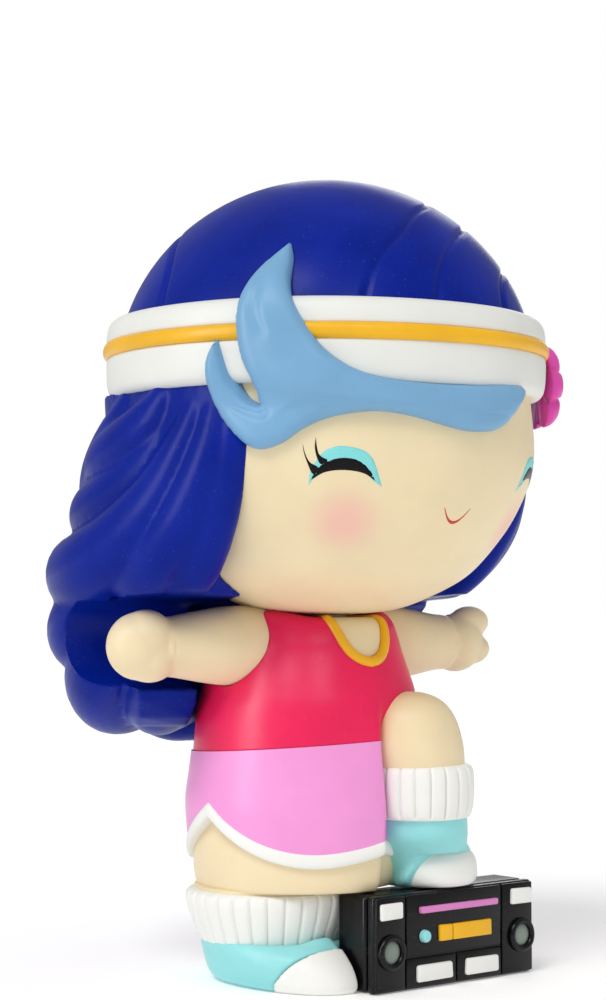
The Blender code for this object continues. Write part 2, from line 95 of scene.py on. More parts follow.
def through(points, steps, closed=False, corners=()):
    """A smooth curve through the points, of any dimension; at a corner it turns sharply."""
    points = [Vector(point) for point in points]
    count = len(points)
    curve = []
    for i in range(count if closed else count - 1):
        start, end = points[i], points[(i + 1) % count]
        before = points[i - 1] if closed or i else start * 2 - end
        after = points[(i + 2) % count] if closed or i + 2 < count else end * 2 - start
        leave = end - start if i in corners else (end - before) / 2
        arrive = end - start if (i + 1) % count in corners else (after - start) / 2
        for step in range(steps):
            t = step / steps
            curve.append(start * (2 * t ** 3 - 3 * t ** 2 + 1) + leave * (t ** 3 - 2 * t ** 2 + t)
                         + end * (3 * t ** 2 - 2 * t ** 3) + arrive * (t ** 3 - t ** 2))
    if not closed:
        curve.append(points[-1])
    return curve


def radius_at(profile, z):
    """Radius at a height on a profile of (radius, height), which may run up or down."""
    upward = profile if profile[0][1] < profile[-1][1] else profile[::-1]
    radii, heights = zip(*upward)
    return float(np.interp(z, heights, radii))


def dense(profile, steps=10, closed=False, corners=()):
    """The smooth curve through a profile, as plain tuples."""
    return [tuple(point) for point in through(profile, steps, closed, corners)]


FACE_CURVE = dense(FACE)
TANK_CURVE = dense(TANK)
SHORTS_CURVE = dense(SHORTS)


def turns(steps):
    """Equal angles once round."""
    return [math.tau * i / steps for i in range(steps)]


def ease(value, low, high):
    """0 below low, 1 above high, and smooth between."""
    t = min(max((value - low) / (high - low), 0.0), 1.0)
    return t * t * (3 - 2 * t)


def mesh_of(name, blobs):
    """A mesh in metres of closed shapes that face outward, each its millimetre points and its faces."""
    bm = bmesh.new()
    for points, faces in blobs:
        made = [bm.verts.new(Vector(point) * MM) for point in points]
        for face in faces:
            bm.faces.new([made[i] for i in face])
    bmesh.ops.remove_doubles(bm, verts=bm.verts, dist=WELD)
    bmesh.ops.recalc_face_normals(bm, faces=bm.faces)
    data = bpy.data.meshes.new(name)
    bm.to_mesh(data)
    bm.free()
    return data


def place_object(name, data):
    obj = bpy.data.objects.new(name, data)
    bpy.context.scene.collection.objects.link(obj)
    return obj


def dress(name, data, finish, body, nodes=(), sharp=None):
    """Shades and paints a mesh, and sets it on its body in place of the CAD nodes it shows."""
    data.shade_smooth()
    if sharp:
        data.set_sharp_from_angle(angle=math.radians(sharp))
    material, slot = finish
    data.materials.clear()
    data.materials.append(material)
    obj = place_object(name, data)
    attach(obj, body)
    if nodes:
        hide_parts(*nodes)
    return obj


def piece(name, points, faces, finish, body, nodes=(), sharp=None):
    return dress(name, mesh_of(name, [(points, faces)]), finish, body, nodes, sharp)


def strip_faces(columns, count, closed=True):
    """Faces between closed columns of count points each; closed also joins the last to the first."""
    faces = []
    for i in range(columns if closed else columns - 1):
        j = (i + 1) % columns
        for k in range(count):
            m = (k + 1) % count
            faces.append((i * count + k, j * count + k, j * count + m, i * count + m))
    return faces


def lathe(name, outline, finish, body, nodes, steps, shift=None, sharp=None, axis_y=HEAD_Y):
    """A closed outline of (radius, height) turned round an upright axis; shift may move its points."""
    points = []
    for turn in turns(steps):
        for r, z in outline:
            if shift:
                r, z = shift(turn, r, z)
            points.append((r * math.sin(turn), axis_y - r * math.cos(turn), z))
    faces = strip_faces(steps, len(outline))
    return piece(name, points, tidy(points, faces), finish, body, nodes, sharp)


def tidy(points, faces):
    """Faces with their repeated corners at a pole dropped."""
    kept = []
    for face in faces:
        corners = []
        for i in face:
            if all((Vector(points[i]) - Vector(points[j])).length > 1e-5 for j in corners):
                corners.append(i)
        if len(corners) > 2:
            kept.append(tuple(corners))
    return kept


def capped(rings):
    """Points and faces of a closed solid through rings of equal length, with a fan at each end."""
    count = len(rings[0])
    points = [Vector(point) for ring in rings for point in ring]
    faces = strip_faces(len(rings), count, closed=False)
    for base in (0, len(points) - count):
        faces += [(base + i, base + (i + 1) % count, len(points)) for i in range(count)]
        points.append(sum(points[base:base + count], Vector((0, 0, 0))) / count)
    return points, faces


def inside(outline, x, y):
    hit = False
    for (x0, y0), (x1, y1) in zip(outline, outline[1:] + outline[:1]):
        if (y0 > y) != (y1 > y) and x < (x1 - x0) * (y - y0) / (y1 - y0) + x0:
            hit = not hit
    return hit


def line_distance(places, line, closed=False):
    """Distance of each place to a line of points, which may be closed."""
    line = np.array([tuple(point) for point in line])
    ends = np.roll(line, -1, axis=0) if closed else line[1:]
    best = np.full(len(places), 1e9)
    for a, b in zip(line, ends):
        span = b - a
        t = np.clip((places - a) @ span / max(span @ span, 1e-12), 0, 1)
        best = np.minimum(best, np.linalg.norm(places - a - t[:, None] * span, axis=1))
    return best


def pillow(name, outline, surface, rise, finish, body, nodes=(), *, cell, sink):
    """A raised patch on a surface. surface(u, v) is a point of it, and rise(distance, u, v) its height."""
    outline = [(float(u), float(v)) for u, v in outline]
    low, high = np.min(outline, axis=0), np.max(outline, axis=0)
    us = np.arange(low[0], high[0], cell)
    vs = np.arange(low[1], high[1], cell * 0.866)
    grid = np.array([(u + (k % 2) * cell / 2, v) for k, v in enumerate(vs) for u in us])
    far = line_distance(grid, outline, True) > cell * 0.45
    grid = [tuple(place) for place in grid[far] if inside(outline, *place)]
    flat = [Vector(place) for place in outline + grid]
    count = len(outline)
    edges = [(i, (i + 1) % count) for i in range(count)]
    flat, _, faces, _, _, _ = geometry.delaunay_2d_cdt(flat, edges, [], 1, 1e-5)
    places = np.array([tuple(place) for place in flat])
    distance = line_distance(places, outline, True)
    tops, bottoms = [], []
    for (u, v), d in zip(places, distance):
        base = Vector(surface(u, v))
        step = 0.05
        along = Vector(surface(u + step, v)) - Vector(surface(u - step, v))
        up = Vector(surface(u, v + step)) - Vector(surface(u, v - step))
        normal = along.cross(up).normalized()
        tops.append(base + normal * rise(d, u, v))
        bottoms.append(base - normal * sink)
    total = len(tops)
    used = {pair: True for face in faces for pair in zip(face, list(face[1:]) + [face[0]])}
    joined = [tuple(face) for face in faces]
    joined += [tuple(total + i for i in reversed(face)) for face in faces]
    joined += [(b, a, total + a, total + b) for a, b in used if (b, a) not in used]
    piece(name, tops + bottoms, joined, finish, body, nodes)


def rounded(height, width, lip=0.0):
    """A rise that rounds over within width of the edge, from a lip at the edge to its full height."""
    def rise(distance, u, v):
        t = 1 - min(distance / width, 1.0)
        return lip + (height - lip) * math.sqrt(max(0.0, 1 - t * t))
    return rise


def tube(path, radii, sides, up=UP, flat=1.0):
    """Points and faces of a tube; flat widens it across the up direction."""
    path = [Vector(point) for point in path]
    rings = []
    for i, point in enumerate(path):
        along = (path[min(i + 1, len(path) - 1)] - path[max(i - 1, 0)]).normalized()
        side = along.cross(Vector(up)).normalized()
        lift = side.cross(along)
        rings.append([point + side * (radii[i] * flat * math.cos(a)) + lift * (radii[i] * math.sin(a))
                      for a in turns(sides)])
    return capped(rings)


def ball(centre, radii, turn, sides):
    """Points and faces of an ellipsoid."""
    points, rows = [], sides // 2
    for i in range(rows + 1):
        high = math.pi * (i / rows - 0.5)
        for a in turns(sides):
            spot = Vector((radii[0] * math.cos(high) * math.cos(a),
                           radii[1] * math.cos(high) * math.sin(a), radii[2] * math.sin(high)))
            points.append(Vector(centre) + turn @ spot)
    return points, tidy(points, strip_faces(rows + 1, sides, closed=False))


def subtract(obj, tools):
    for tool in tools:
        step = obj.modifiers.new("cut", "BOOLEAN")
        step.operation, step.solver, step.object = "DIFFERENCE", "EXACT", tool


def settled(obj, spare):
    """The object's mesh with its modifiers applied; the spare objects are then removed."""
    bpy.context.view_layer.update()
    data = bpy.data.meshes.new_from_object(obj.evaluated_get(bpy.context.evaluated_depsgraph_get()))
    for other in spare:
        bpy.data.objects.remove(other)
    return data


def cut(obj, *shapes):
    """Takes the shapes away from obj for good."""
    tools = [place_object("tool", mesh_of("tool", [shape])) for shape in shapes]
    subtract(obj, tools)
    data = settled(obj, tools)
    obj.modifiers.clear()
    obj.data = data


def sculpt(name, blobs, voxel, soften, finish, body, nodes, after=None, cuts=()):
    """Overlapping closed shapes melted into one skin, softened where they meet; cuts are taken away."""
    shape = place_object(name + "_raw", mesh_of(name + "_raw", blobs))

    def melt():
        step = shape.modifiers.new("melt", "REMESH")
        step.mode, step.voxel_size = "VOXEL", voxel * MM

    melt()
    tools = [place_object("tool", mesh_of("tool", [tool])) for tool in cuts]
    if tools:
        subtract(shape, tools)
        melt()
    calm = shape.modifiers.new("soften", "SMOOTH")
    calm.factor, calm.iterations = 0.5, soften
    data = settled(shape, tools)
    bpy.data.objects.remove(shape)
    data.name = name
    if after:
        places = np.empty(len(data.vertices) * 3)
        data.vertices.foreach_get("co", places)
        places = after(places.reshape(-1, 3) / MM) * MM
        data.vertices.foreach_set("co", places.ravel())
        data.update()
    dress(name, data, finish, body, nodes)


# Paints

def linear(code):
    """A #rrggbb colour as linear values."""
    parts = [int(code[i:i + 2], 16) / 255 for i in (1, 3, 5)]
    return tuple(c / 12.92 if c <= 0.04045 else ((c + 0.055) / 1.055) ** 2.4 for c in parts)


class Nodes:
    """A short way to build one material's node tree."""

    def __init__(self, name):
        self.material = bpy.data.materials.new(name)
        self.material.use_nodes = True
        self.tree = self.material.node_tree
        self.shader = self.tree.nodes["Principled BSDF"]
        self.place = self.node("TexCoord").outputs["Object"]

    def put(self, value, socket):
        if isinstance(value, bpy.types.NodeSocket):
            self.tree.links.new(value, socket)
        else:
            socket.default_value = value

    def set(self, node, **inputs):
        """Values or links for a node's sockets, with _ for each space in their names."""
        for key, value in inputs.items():
            self.put(value, node.inputs[key.replace("_", " ")])

    def node(self, kind, **inputs):
        made = self.tree.nodes.new("ShaderNode" + kind)
        self.set(made, **inputs)
        return made

    def noise(self, scale, detail, rough=0.5, stretch=None):
        place = self.place
        if stretch:
            place = self.node("Mapping", Vector=place, Scale=stretch).outputs["Vector"]
        return self.node("TexNoise", Vector=place, Scale=scale, Detail=detail,
                         Roughness=rough).outputs["Fac"]

    def remap(self, value, low, high, to_low, to_high, kind="LINEAR"):
        made = self.node("MapRange", Value=value, From_Min=low, From_Max=high, To_Min=to_low,
                         To_Max=to_high)
        made.interpolation_type = kind
        return made.outputs["Result"]

    def blend(self, amount, first, second):
        made = self.node("Mix")
        made.data_type = "RGBA"
        sockets = {socket.identifier: socket for socket in made.inputs}
        self.put(amount, made.inputs["Factor"])
        for value, key in ((first, "A_Color"), (second, "B_Color")):
            self.put((*value, 1.0) if isinstance(value, tuple) else value, sockets[key])
        return next(socket for socket in made.outputs if socket.identifier == "Result_Color")

    def math(self, kind, first, second):
        made = self.node("Math")
        made.operation = kind
        self.put(first, made.inputs[0])
        self.put(second, made.inputs[1])
        return made.outputs[0]

    def distance(self, spot):
        """Distance in metres from a place given in millimetres."""
        made = self.node("VectorMath")
        made.operation = "DISTANCE"
        self.put(self.place, made.inputs[0])
        self.put(Vector(spot) * MM, made.inputs[1])
        return made.outputs["Value"]

    def bump(self, height, strength, depth, **under):
        return self.node("Bump", Height=height, Strength=strength, Distance=depth * MM,
                         **under).outputs["Normal"]


def paint(name, code, slot, rough, brush, grain=1.0, spots=(), soft=0.0, shine=0.3):
    """Hand-brushed satin paint on vinyl: uneven colour, brush drag, dust specks and a soft gloss.

    spots are (centre, inner, outer, colour, strength) airbrushed rounds. Gives the material and its slot.
    """
    n = Nodes(name)
    base = linear(code)
    deep = tuple(c * (1 - brush * 1.6) for c in base)
    pale = tuple(min(1.0, c * (1 + brush) + brush * 0.02) for c in base)
    clouds = n.remap(n.noise(140, 3, 0.55), 0.3, 0.7, 0, 1)
    drag = n.remap(n.noise(500, 2, 0.5, (1.0, 1.0, 0.22)), 0.35, 0.65, 0, 1)
    colour = n.blend(clouds, deep, pale)
    colour = n.blend(n.math("MULTIPLY", drag, 0.35), colour, base)
    for spot, inner, outer, tint, strength in spots:
        near = n.remap(n.distance(spot), inner * MM, outer * MM, strength, 0, "SMOOTHSTEP")
        colour = n.blend(near, colour, linear(tint))
    specks = n.remap(n.noise(5200, 0, 0.0), 0.775, 0.81, 0, 0.22)
    speck_tone = tuple(min(1.0, c * 0.8 + 0.12) for c in base)
    colour = n.blend(specks, colour, speck_tone)
    gloss = n.math("ADD", n.math("MULTIPLY", n.noise(260, 3, 0.6), 0.16), rough - 0.08)
    fine = n.bump(n.noise(900, 3, 0.6), 0.35 * grain, 0.02)
    broad = n.bump(n.noise(230, 2, 0.5), 0.5 * grain, 0.05, Normal=fine)
    n.set(n.shader, Base_Color=colour, Roughness=gloss, Normal=broad, IOR=1.48,
          Specular_IOR_Level=shine)
    if soft:
        n.set(n.shader, Subsurface_Weight=soft, Subsurface_Radius=(1.0, 0.5, 0.35),
              Subsurface_Scale=0.0012)
    return n.material, slot


# Head

def head_place(turn_deg, radius, z):
    """A point round the head's axis; 0 degrees is the front and + is the figure's left."""
    turn = math.radians(turn_deg)
    return Vector((radius * math.sin(turn), HEAD_Y - radius * math.cos(turn), z))


DEGREE = math.radians(1) * FACE_R      # millimetres of face round one degree


def on_face(u, v):
    """The face at u millimetres round from the front and height v."""
    return head_place(u / DEGREE, radius_at(FACE_CURVE, v), v)


def dome_radius(z):
    return DOME_R * math.sqrt(max(0.0, 1 - ((z - DOME_MID) / (TOP_Z - DOME_MID)) ** 2))


# Combed grooves of the dome: (degrees round, height) from the band's top edge to the back
GROOVES = (
    ((-31, 65.4), (-27, 69.0), (-18, 72.0), (2, 75.6), (50, 78.2)),
    ((-10, 65.4), (-6, 68.8), (4, 71.8), (22, 74.0), (55, 75.6), (95, 76.0)),
    ((17, 65.4), (22, 68.2), (33, 70.0), (52, 71.2), (80, 72.2), (115, 73.0)),
    ((150, 65.4), (146, 70.0), (138, 73.5), (120, 76.5)),
    ((-150, 65.4), (-152, 70.0), (-162, 73.5), (-184, 76.0)),
    ((-92, 65.4), (-96, 69.5), (-106, 72.5), (-128, 75.5)),
)
GROOVE_DEEP, GROOVE_HALF = 0.34, 0.42


def make_cap():
    """The dome of combed hair, with soft rounded grooves pressed into it."""
    rows, steps = 84, 420
    low = node_box("headband")[0].z + 0.4
    first = math.asin((BAND_TOP - 1.0 - DOME_MID) / (TOP_Z - DOME_MID))
    heights = [DOME_MID + (TOP_Z - DOME_MID) * math.sin(first + (math.pi / 2 - first) * i / rows)
               for i in range(rows)]
    outline = [(19.5, low), (19.7, low)] + [(dome_radius(z), z) for z in heights] + [(0.0, TOP_Z)]
    outline += [(0.0, TOP_Z - 1.5), (10.0, TOP_Z - 4.2), (17.0, 69.0), (18.6, 62.0)]
    points = np.array([(r * math.sin(turn), HEAD_Y - r * math.cos(turn), z)
                       for turn in turns(steps) for r, z in outline])
    outer = np.tile([i >= 2 and i < rows + 3 for i in range(len(outline))], steps)
    drop = np.zeros(len(points))
    for groove in GROOVES:
        line = [head_place(turn, dome_radius(z), z) for turn, z in through(groove, 14)]
        near = line_distance(points, line)
        drop = np.maximum(drop, GROOVE_DEEP * np.exp(-(near / GROOVE_HALF) ** 2 * 1.6))
    inward = points - np.array((0, HEAD_Y, DOME_MID))
    inward /= np.linalg.norm(inward, axis=1)[:, None]
    points -= inward * (drop * outer)[:, None]
    points = [tuple(point) for point in points]
    faces = strip_faces(steps, len(outline))
    return piece("combed_hair_dome", points, tidy(points, faces), HAIR, "head", ["hair_cap"])


def wobble(turn, waves, size):
    """A small closed unevenness round a turned edge, as a hand-finished edge has."""
    return size * sum(math.sin(turn * k + k * k) / k for k in waves)


def make_band():
    """The wide padded band, its edges rounded, with a low channel round its yellow rib."""
    inner = 19.9
    shape = [(inner, BAND_LOW + 0.3), (21.1, BAND_LOW + 0.05), (21.75, BAND_LOW + 0.5),
             (22.02, 59.2), (BAND_R, 60.6), (BAND_R - 0.03, RIB_LOW - 0.2),
             (BAND_R - 0.28, RIB_LOW + 0.12)]
    upper = [(BAND_R - 0.28, RIB_TOP - 0.12), (BAND_R - 0.03, RIB_TOP + 0.2), (BAND_R - 0.05, 64.2),
             (21.85, 65.0), (21.4, 65.55), (20.7, BAND_TOP), (inner, BAND_TOP - 0.3)]
    outline = dense(shape, 6) + dense(upper, 6)

    def shift(turn, r, z):
        top = ease(z, 64.2, 65.5) - ease(-z, -59.5, -58.2)
        return r, z + wobble(turn, (2, 3, 5), 0.09) * abs(top)

    lathe("padded_headband", outline, BAND, "head", ["headband"], 256, shift)

    half = (RIB_TOP - RIB_LOW) / 2
    mid = (RIB_TOP + RIB_LOW) / 2
    rib = [(BAND_R - 0.5, mid - half)]
    rib += [(BAND_R - 0.12 + (RIB_R - BAND_R + 0.12) * math.cos(a), mid + half * math.sin(a))
            for a in (math.radians(t) for t in range(-90, 91, 15))]
    rib += [(BAND_R - 0.5, mid + half)]

    def sway(turn, r, z):
        return r, z + wobble(turn, (2, 5, 7), 0.05) + (z - mid) * wobble(turn, (3, 4, 9), 0.06)

    lathe("band_rib", rib, YELLOW, "head", ["headband_stripe"], 256, sway)


def make_head_shell():
    """The bare head with its neck hole; the face is one even round."""
    skull = [(18.4, 58.2), (18.2, 62.0), (15.5, 70.0), (9.0, 75.5), (0.0, 77.8)]
    hollow = [(0.0, 76.0), (8.0, 73.7), (14.0, 68.5), (16.4, 60.0), (18.6, 54.0), (17.4, 47.5),
              (12.5, 41.5), (6.0, 38.7), (2.2, 38.4)]
    lathe("face_and_skull", FACE_CURVE + skull + hollow, SKIN, "head", ["head_shell"], 192)


# Eye: outer tip, top and inner tip of the closed lid, in degrees round and height, left side
LID_TOP = ((44.8, 48.92), (44.1, 49.53), (42.8, 50.09), (40.4, 50.65), (36.4, 50.99), (32.4, 50.66),
           (29.5, 49.82), (28.0, 48.85))
LID_LOW = ((31.3, 49.54), (36.4, 49.81), (41.2, 49.61))
SHADE = ((45.5, 48.4), (44.8, 49.8), (41.9, 51.35), (39.2, 51.85), (36.5, 52.0), (31.7, 51.65),
         (29.2, 50.95), (28.0, 50.1), (26.0, 48.3), (28.6, 48.9), (32.0, 50.0), (36.4, 50.35),
         (41.0, 50.1), (43.9, 49.2))
LASHES = (((44.3, 49.4), (45.9, 50.66), (46.6, 51.5), (46.85, 52.3), (46.2, 51.3), (45.0, 50.5),
           (42.7, 50.0)),
          ((42.2, 50.3), (43.3, 51.0), (43.75, 51.9), (43.5, 52.85), (43.2, 51.9), (42.5, 51.15),
           (40.3, 50.7)))


def painted(name, outline, finish, side, lift, corners, cell=0.3):
    """A film of paint on the face; side mirrors it to the other eye."""
    flat = dense([(turn * DEGREE * side, z) for turn, z in outline], 8, True, corners)
    if side < 0:
        flat.reverse()
    pillow(name, flat, on_face, rounded(lift, 0.08, lift * 0.3), finish, "head",
           cell=cell, sink=0.05)


def make_face():
    for side, label in ((-1, "right"), (1, "left")):
        painted(f"{label}_eyeshadow", SHADE, SHADOW_AQUA, side, 0.015, (0, 8))
        painted(f"{label}_closed_lid", LID_TOP + LID_LOW, INK, side, 0.035,
                (0, 7))
        for i, lash in enumerate(LASHES):
            painted(f"{label}_lash_{i + 1}", lash, INK, side, 0.035, (3,), 0.2)
    half, low, high = 5.0, 45.15, 46.5
    smile = [(half * t - 0.4, low + (high - low) * t * t)
             for t in np.linspace(-1, 1, 21)]
    width = [0.07 + 0.1 * (1 - abs(t)) ** 0.5 for t in np.linspace(-1, 1, 21)]
    upper = [(x, z + w) for (x, z), w in zip(smile, width)]
    lower = [(x, z - w * 0.7) for (x, z), w in zip(smile, width)]
    painted("smile", lower + upper[::-1], LIP, 1, 0.03, (0, 20, 21, 41), 0.2)


# Outline of the swept fringe: degrees round the head and height
FRINGE = ((17.8, 58.4), (17.3, 57.2), (15.6, 55.8), (12.4, 54.6), (8.5, 53.95), (4, 53.7),
          (-3, 53.7), (-10, 54.15), (-18, 54.8),
          (-26, 55.2), (-33, 55.1), (-41, 54.5), (-47, 53.5), (-52, 52.3),
          (-58, 51.75), (-63, 52.7), (-68.5, 55), (-70.6, 57.6), (-70.4, 60.0), (-67.8, 62.0),
          (-66.6, 60.6), (-64.6, 58.4), (-61.0, 56.6), (-57.6, 55.9), (-58.6, 57.8), (-61.4, 60.2),
          (-62.6, 63.1), (-61.6, 66.0), (-57.6, 68.8), (-51.2, 70.9), (-50.2, 69.6), (-50.3, 67.4),
          (-48.9, 65.3), (-45.7, 63.1), (-41.4, 60.9), (-35, 59.2), (-26.5, 58.3), (-15, 57.9),
          (-1.5, 57.95), (9, 58.25))
FRINGE_CORNERS = (0, 19, 23, 29)


def fringe_bed(u, v):
    """The surface under the fringe: face, then the band, then the dome."""
    face = radius_at(FACE_CURVE, min(v, 57.5))
    over = face + (BAND_R - 0.1 - face) * ease(v, 55.2, 59.6)
    dome = dome_radius(max(v, 64.0)) + 0.15
    over = over + (dome - over) * ease(v, 63.6, 69.0)
    return head_place(u / DEGREE, over, v)


# Ridges and creases of the fringe: degrees round and height along a line
CREASES = (
    ((-58.6, 69.0), (-57.3, 66.6), (-57.2, 64.4), (-55.4, 62.4)),
    ((-66.3, 61.0), (-64.8, 57.6), (-61.8, 55.6), (-56.4, 54.9)),
)


def make_fringe():
    flat = dense([(turn * DEGREE, z) for turn, z in FRINGE], 7, True, FRINGE_CORNERS)
    creases = [np.array(dense([(turn * DEGREE, z) for turn, z in line], 8)) for line in CREASES]

    def rise(distance, u, v):
        t = 1 - min(distance / 1.5, 1.0)
        height = 0.25 + 1.35 * math.sqrt(max(0.0, 1 - t * t))
        height += 0.3 * ease(distance, 1.2, 3.4)
        for i, line in enumerate(creases):
            near = float(np.min(np.hypot(line[:, 0] - u, line[:, 1] - v)))
            height -= (0.3, 0.4)[i] * math.exp(-(near / 0.6) ** 2) * ease(distance, 0.3, 1.3)
        return height

    pillow("swept_fringe", flat, fringe_bed, rise, FRINGE_BLUE, "head", ["hair_fringe"], cell=0.24, sink=1.2)


def make_flower():
    """Pink clip of six soft petals with a dished middle and a small yellow button."""
    low, high = node_box("flower_petals")
    centre = (low + high) / 2
    out = Vector((centre.x, centre.y - HEAD_Y, 0)).normalized()
    side = UP.cross(out)
    reach = (high.z - low.z) / 2 + 0.1
    thick = 1.7
    back = centre - out * (thick / 2 + 0.05)
    rows, steps, points = 22, 180, []
    for turn in turns(steps):
        spoke = side * math.cos(turn) + UP * math.sin(turn)
        edge = reach * (0.76 + 0.24 * abs(math.cos(3 * turn)) ** 0.8)
        furrow = math.exp(-((abs(math.sin(3 * turn)) ** 8 - 1) * 3) ** 2)
        for k in range(rows + 1):
            part = k / rows
            height = thick * (0.62 + 0.38 * math.sin(math.pi * min(part, 0.999) ** 1.2))
            height *= math.sqrt(max(0.0, 1 - max(0.0, (part - 0.72) / 0.28) ** 2)) * 0.85 + 0.15
            height -= 0.28 * furrow * ease(part, 0.2, 0.6)
            points.append(back + out * height + spoke * (edge * part))
        points += [back + spoke * (edge * 0.97), back]
    faces = strip_faces(steps, rows + 3)
    piece("petal_clip", points, tidy(points, faces), FLOWER, "head", ["flower_petals"])
    turn = UP.rotation_difference(out).to_matrix()
    points, faces = ball(back + out * (thick * 0.72), (1.35, 1.35, 0.75), turn, 32)
    piece("clip_button", points, faces, YELLOW, "head", ["flower_centre"])


# Long hair

# Height, first angle from the front, radius at the side and radius at the back of the hair's core
HAIR_CORE = ((58.2, 66.0, 20.3, 20.4), (54.0, 65.0, 20.0, 20.4), (50.0, 67.5, 19.8, 21.4),
             (46.3, 73.5, 19.6, 22.6), (43.0, 79.5, 19.4, 24.0), (40.0, 86.0, 19.0, 25.2),
             (38.0, 90.0, 18.4, 25.6), (37.6, 92.0, 18.0, 25.6), (37.5, 112.0, 18.6, 25.6),
             (34.3, 112.0, 19.0, 25.4), (31.0, 112.0, 18.6, 25.0), (28.0, 114.0, 17.6, 24.0),
             (26.2, 120.0, 16.8, 22.6), (25.2, 128.0, 16.0, 21.0))


def core_radius(turn_deg, side, back):
    if turn_deg < 90 or turn_deg > 270:
        return side
    turn = math.radians(turn_deg)
    power = 2.8
    return ((abs(math.sin(turn)) / side) ** power
            + (abs(math.cos(turn)) / back) ** power) ** (-1 / power)


BACK_ROOM = 12.35                      # radius round the body's axis that the hair stays outside
UNDER_CHIN = 37.55                     # the head is inside the hair above this, the back below it


def clear_of_back(turn_deg):
    """Radius from the head's axis that stays just off the back of the tank top."""
    lean = HEAD_Y * math.cos(math.radians(turn_deg))
    return lean + math.sqrt(lean * lean + BACK_ROOM ** 2 - HEAD_Y ** 2)


def hair_core():
    """The body of the hair, shaped to the head and to the back inside it, that the locks lie on."""
    steps, rings = 48, []
    for z, first, side, back in HAIR_CORE:
        outer, inner = [], []
        for i in range(steps + 1):
            turn = first + (360 - 2 * first) * i / steps
            full = core_radius(turn, side, back)
            near = radius_at(FACE_CURVE, z) + 0.12 if z > UNDER_CHIN else clear_of_back(turn)
            outer.append(head_place(turn, max(full, near + 0.5), z))
            inner.append(head_place(turn, near, z))
        rings.append(outer + inner[::-1])
    return solid(rings)


# Locks of hair: (degrees round, radius from the head's axis, height, half thickness)
SIDE_LOCKS = (
    ((66.5, 19.6, 57.2, 1.3), (66.5, 20.2, 52.5, 1.6), (70.5, 19.8, 47.6, 1.9), (78, 18.7, 43.2, 2.1),
     (87, 17.8, 40.4, 2.1), (97, 17.6, 39.6, 1.6)),
    ((71, 19.5, 57.2, 1.5), (72.5, 20.4, 52.0, 2.0), (79, 20.5, 47.0, 2.5), (89, 20.5, 43.0, 2.7),
     (100, 20.6, 40.6, 2.6), (112, 21.0, 40.0, 2.0)),
    ((77, 19.4, 57.3, 1.5), (81, 20.4, 52.4, 2.1), (90, 21.1, 47.4, 2.7), (103, 22.4, 43.4, 3.1),
     (117, 23.9, 41.0, 3.4), (130, 24.8, 40.3, 3.4), (140, 24.8, 40.3, 2.9)),
    ((85, 19.2, 57.4, 1.4), (90, 19.8, 53.8, 1.8), (100, 20.6, 50.2, 2.3), (112, 21.9, 47.7, 2.7),
     (124, 22.9, 46.4, 2.8), (134, 23.4, 45.9, 2.4)),
    ((104, 20.4, 43.4, 1.8), (112, 21.8, 41.0, 2.5), (121, 23.2, 38.2, 2.9), (129, 24.6, 35.6, 3.2),
     (137, 25.0, 34.3, 3.4), (146, 24.8, 33.6, 2.9)),
    ((112, 20.6, 37.0, 2.6), (119, 21.6, 33.8, 3.2), (129, 22.6, 30.8, 3.6), (140, 22.7, 28.8, 3.8),
     (150, 22.3, 28.1, 3.7), (159, 21.6, 28.0, 3.0)),
    ((120, 17.4, 33.0, 2.2), (126, 17.6, 30.6, 2.8), (136, 17.8, 28.4, 3.1), (148, 18.0, 27.4, 3.1),
     (160, 18.0, 27.2, 2.6)),
)
BACK_LOCKS = (
    ((88, 19.9, 57.6, 1.6), (93, 20.4, 55.4, 2.1), (103, 21.0, 53.2, 2.5), (116, 21.7, 51.4, 2.6),
     (128, 22.2, 50.2, 2.1)),
    ((108, 19.6, 57.6, 1.8), (114, 20.4, 55.0, 2.3), (126, 21.4, 52.0, 2.7), (140, 22.6, 49.0, 3.0),
     (152, 23.8, 46.6, 3.1), (162, 24.4, 45.2, 2.4)),
    ((134, 19.5, 57.6, 2.0), (140, 20.5, 54.0, 2.6), (151, 22.0, 50.0, 3.0), (163, 23.8, 46.2, 3.4),
     (173, 25.2, 43.0, 3.5), (181, 25.6, 41.6, 2.7)),
    ((158, 19.5, 57.6, 2.0), (162, 20.8, 53.2, 2.7), (171, 22.2, 49.4, 3.0), (182, 23.4, 46.8, 2.6)),
    ((179, 19.5, 57.6, 1.9), (181, 20.8, 53.4, 2.4), (186, 21.8, 50.6, 2.3)),
    ((146, 23.8, 41.4, 2.4), (153, 25.0, 38.4, 3.4), (162, 25.9, 35.6, 3.9), (172, 26.1, 34.0, 3.8),
     (180, 25.9, 33.4, 3.0)),
    ((156, 23.4, 33.0, 2.6), (162, 22.9, 29.6, 3.5), (170, 21.6, 27.4, 3.9), (179, 20.8, 26.6, 3.5)),
)


def lock(stations, side, sway):
    """One tapering lock with a blunt round end; sway moves its stations a little to and fro."""
    path = through([(turn + sway * math.sin(i * 2.1), r, z, size)
                    for i, (turn, r, z, size) in enumerate(stations)], 7)
    places = [head_place(side * turn, r, z) for turn, r, z, _ in path]
    sizes = [point[3] for point in path]
    middle_turn = math.radians(side * path[len(path) // 2][0])
    out = Vector((math.sin(middle_turn), -math.cos(middle_turn), 0))
    end, size = places[-1], sizes[-1]
    tip = (end - places[-2]).normalized()
    for part in (0.35, 0.65, 0.88, 0.99):
        places.append(end + tip * (size * part))
        sizes.append(size * math.sqrt(1 - part * part))
    return tube(places, sizes, 22, out, 1.15)


ARM_ROOM = 4.3                         # radius kept clear round a resting arm
SWIVEL_ROOM = 0.185                    # the same for each millimetre out, for a head turned 10 degrees


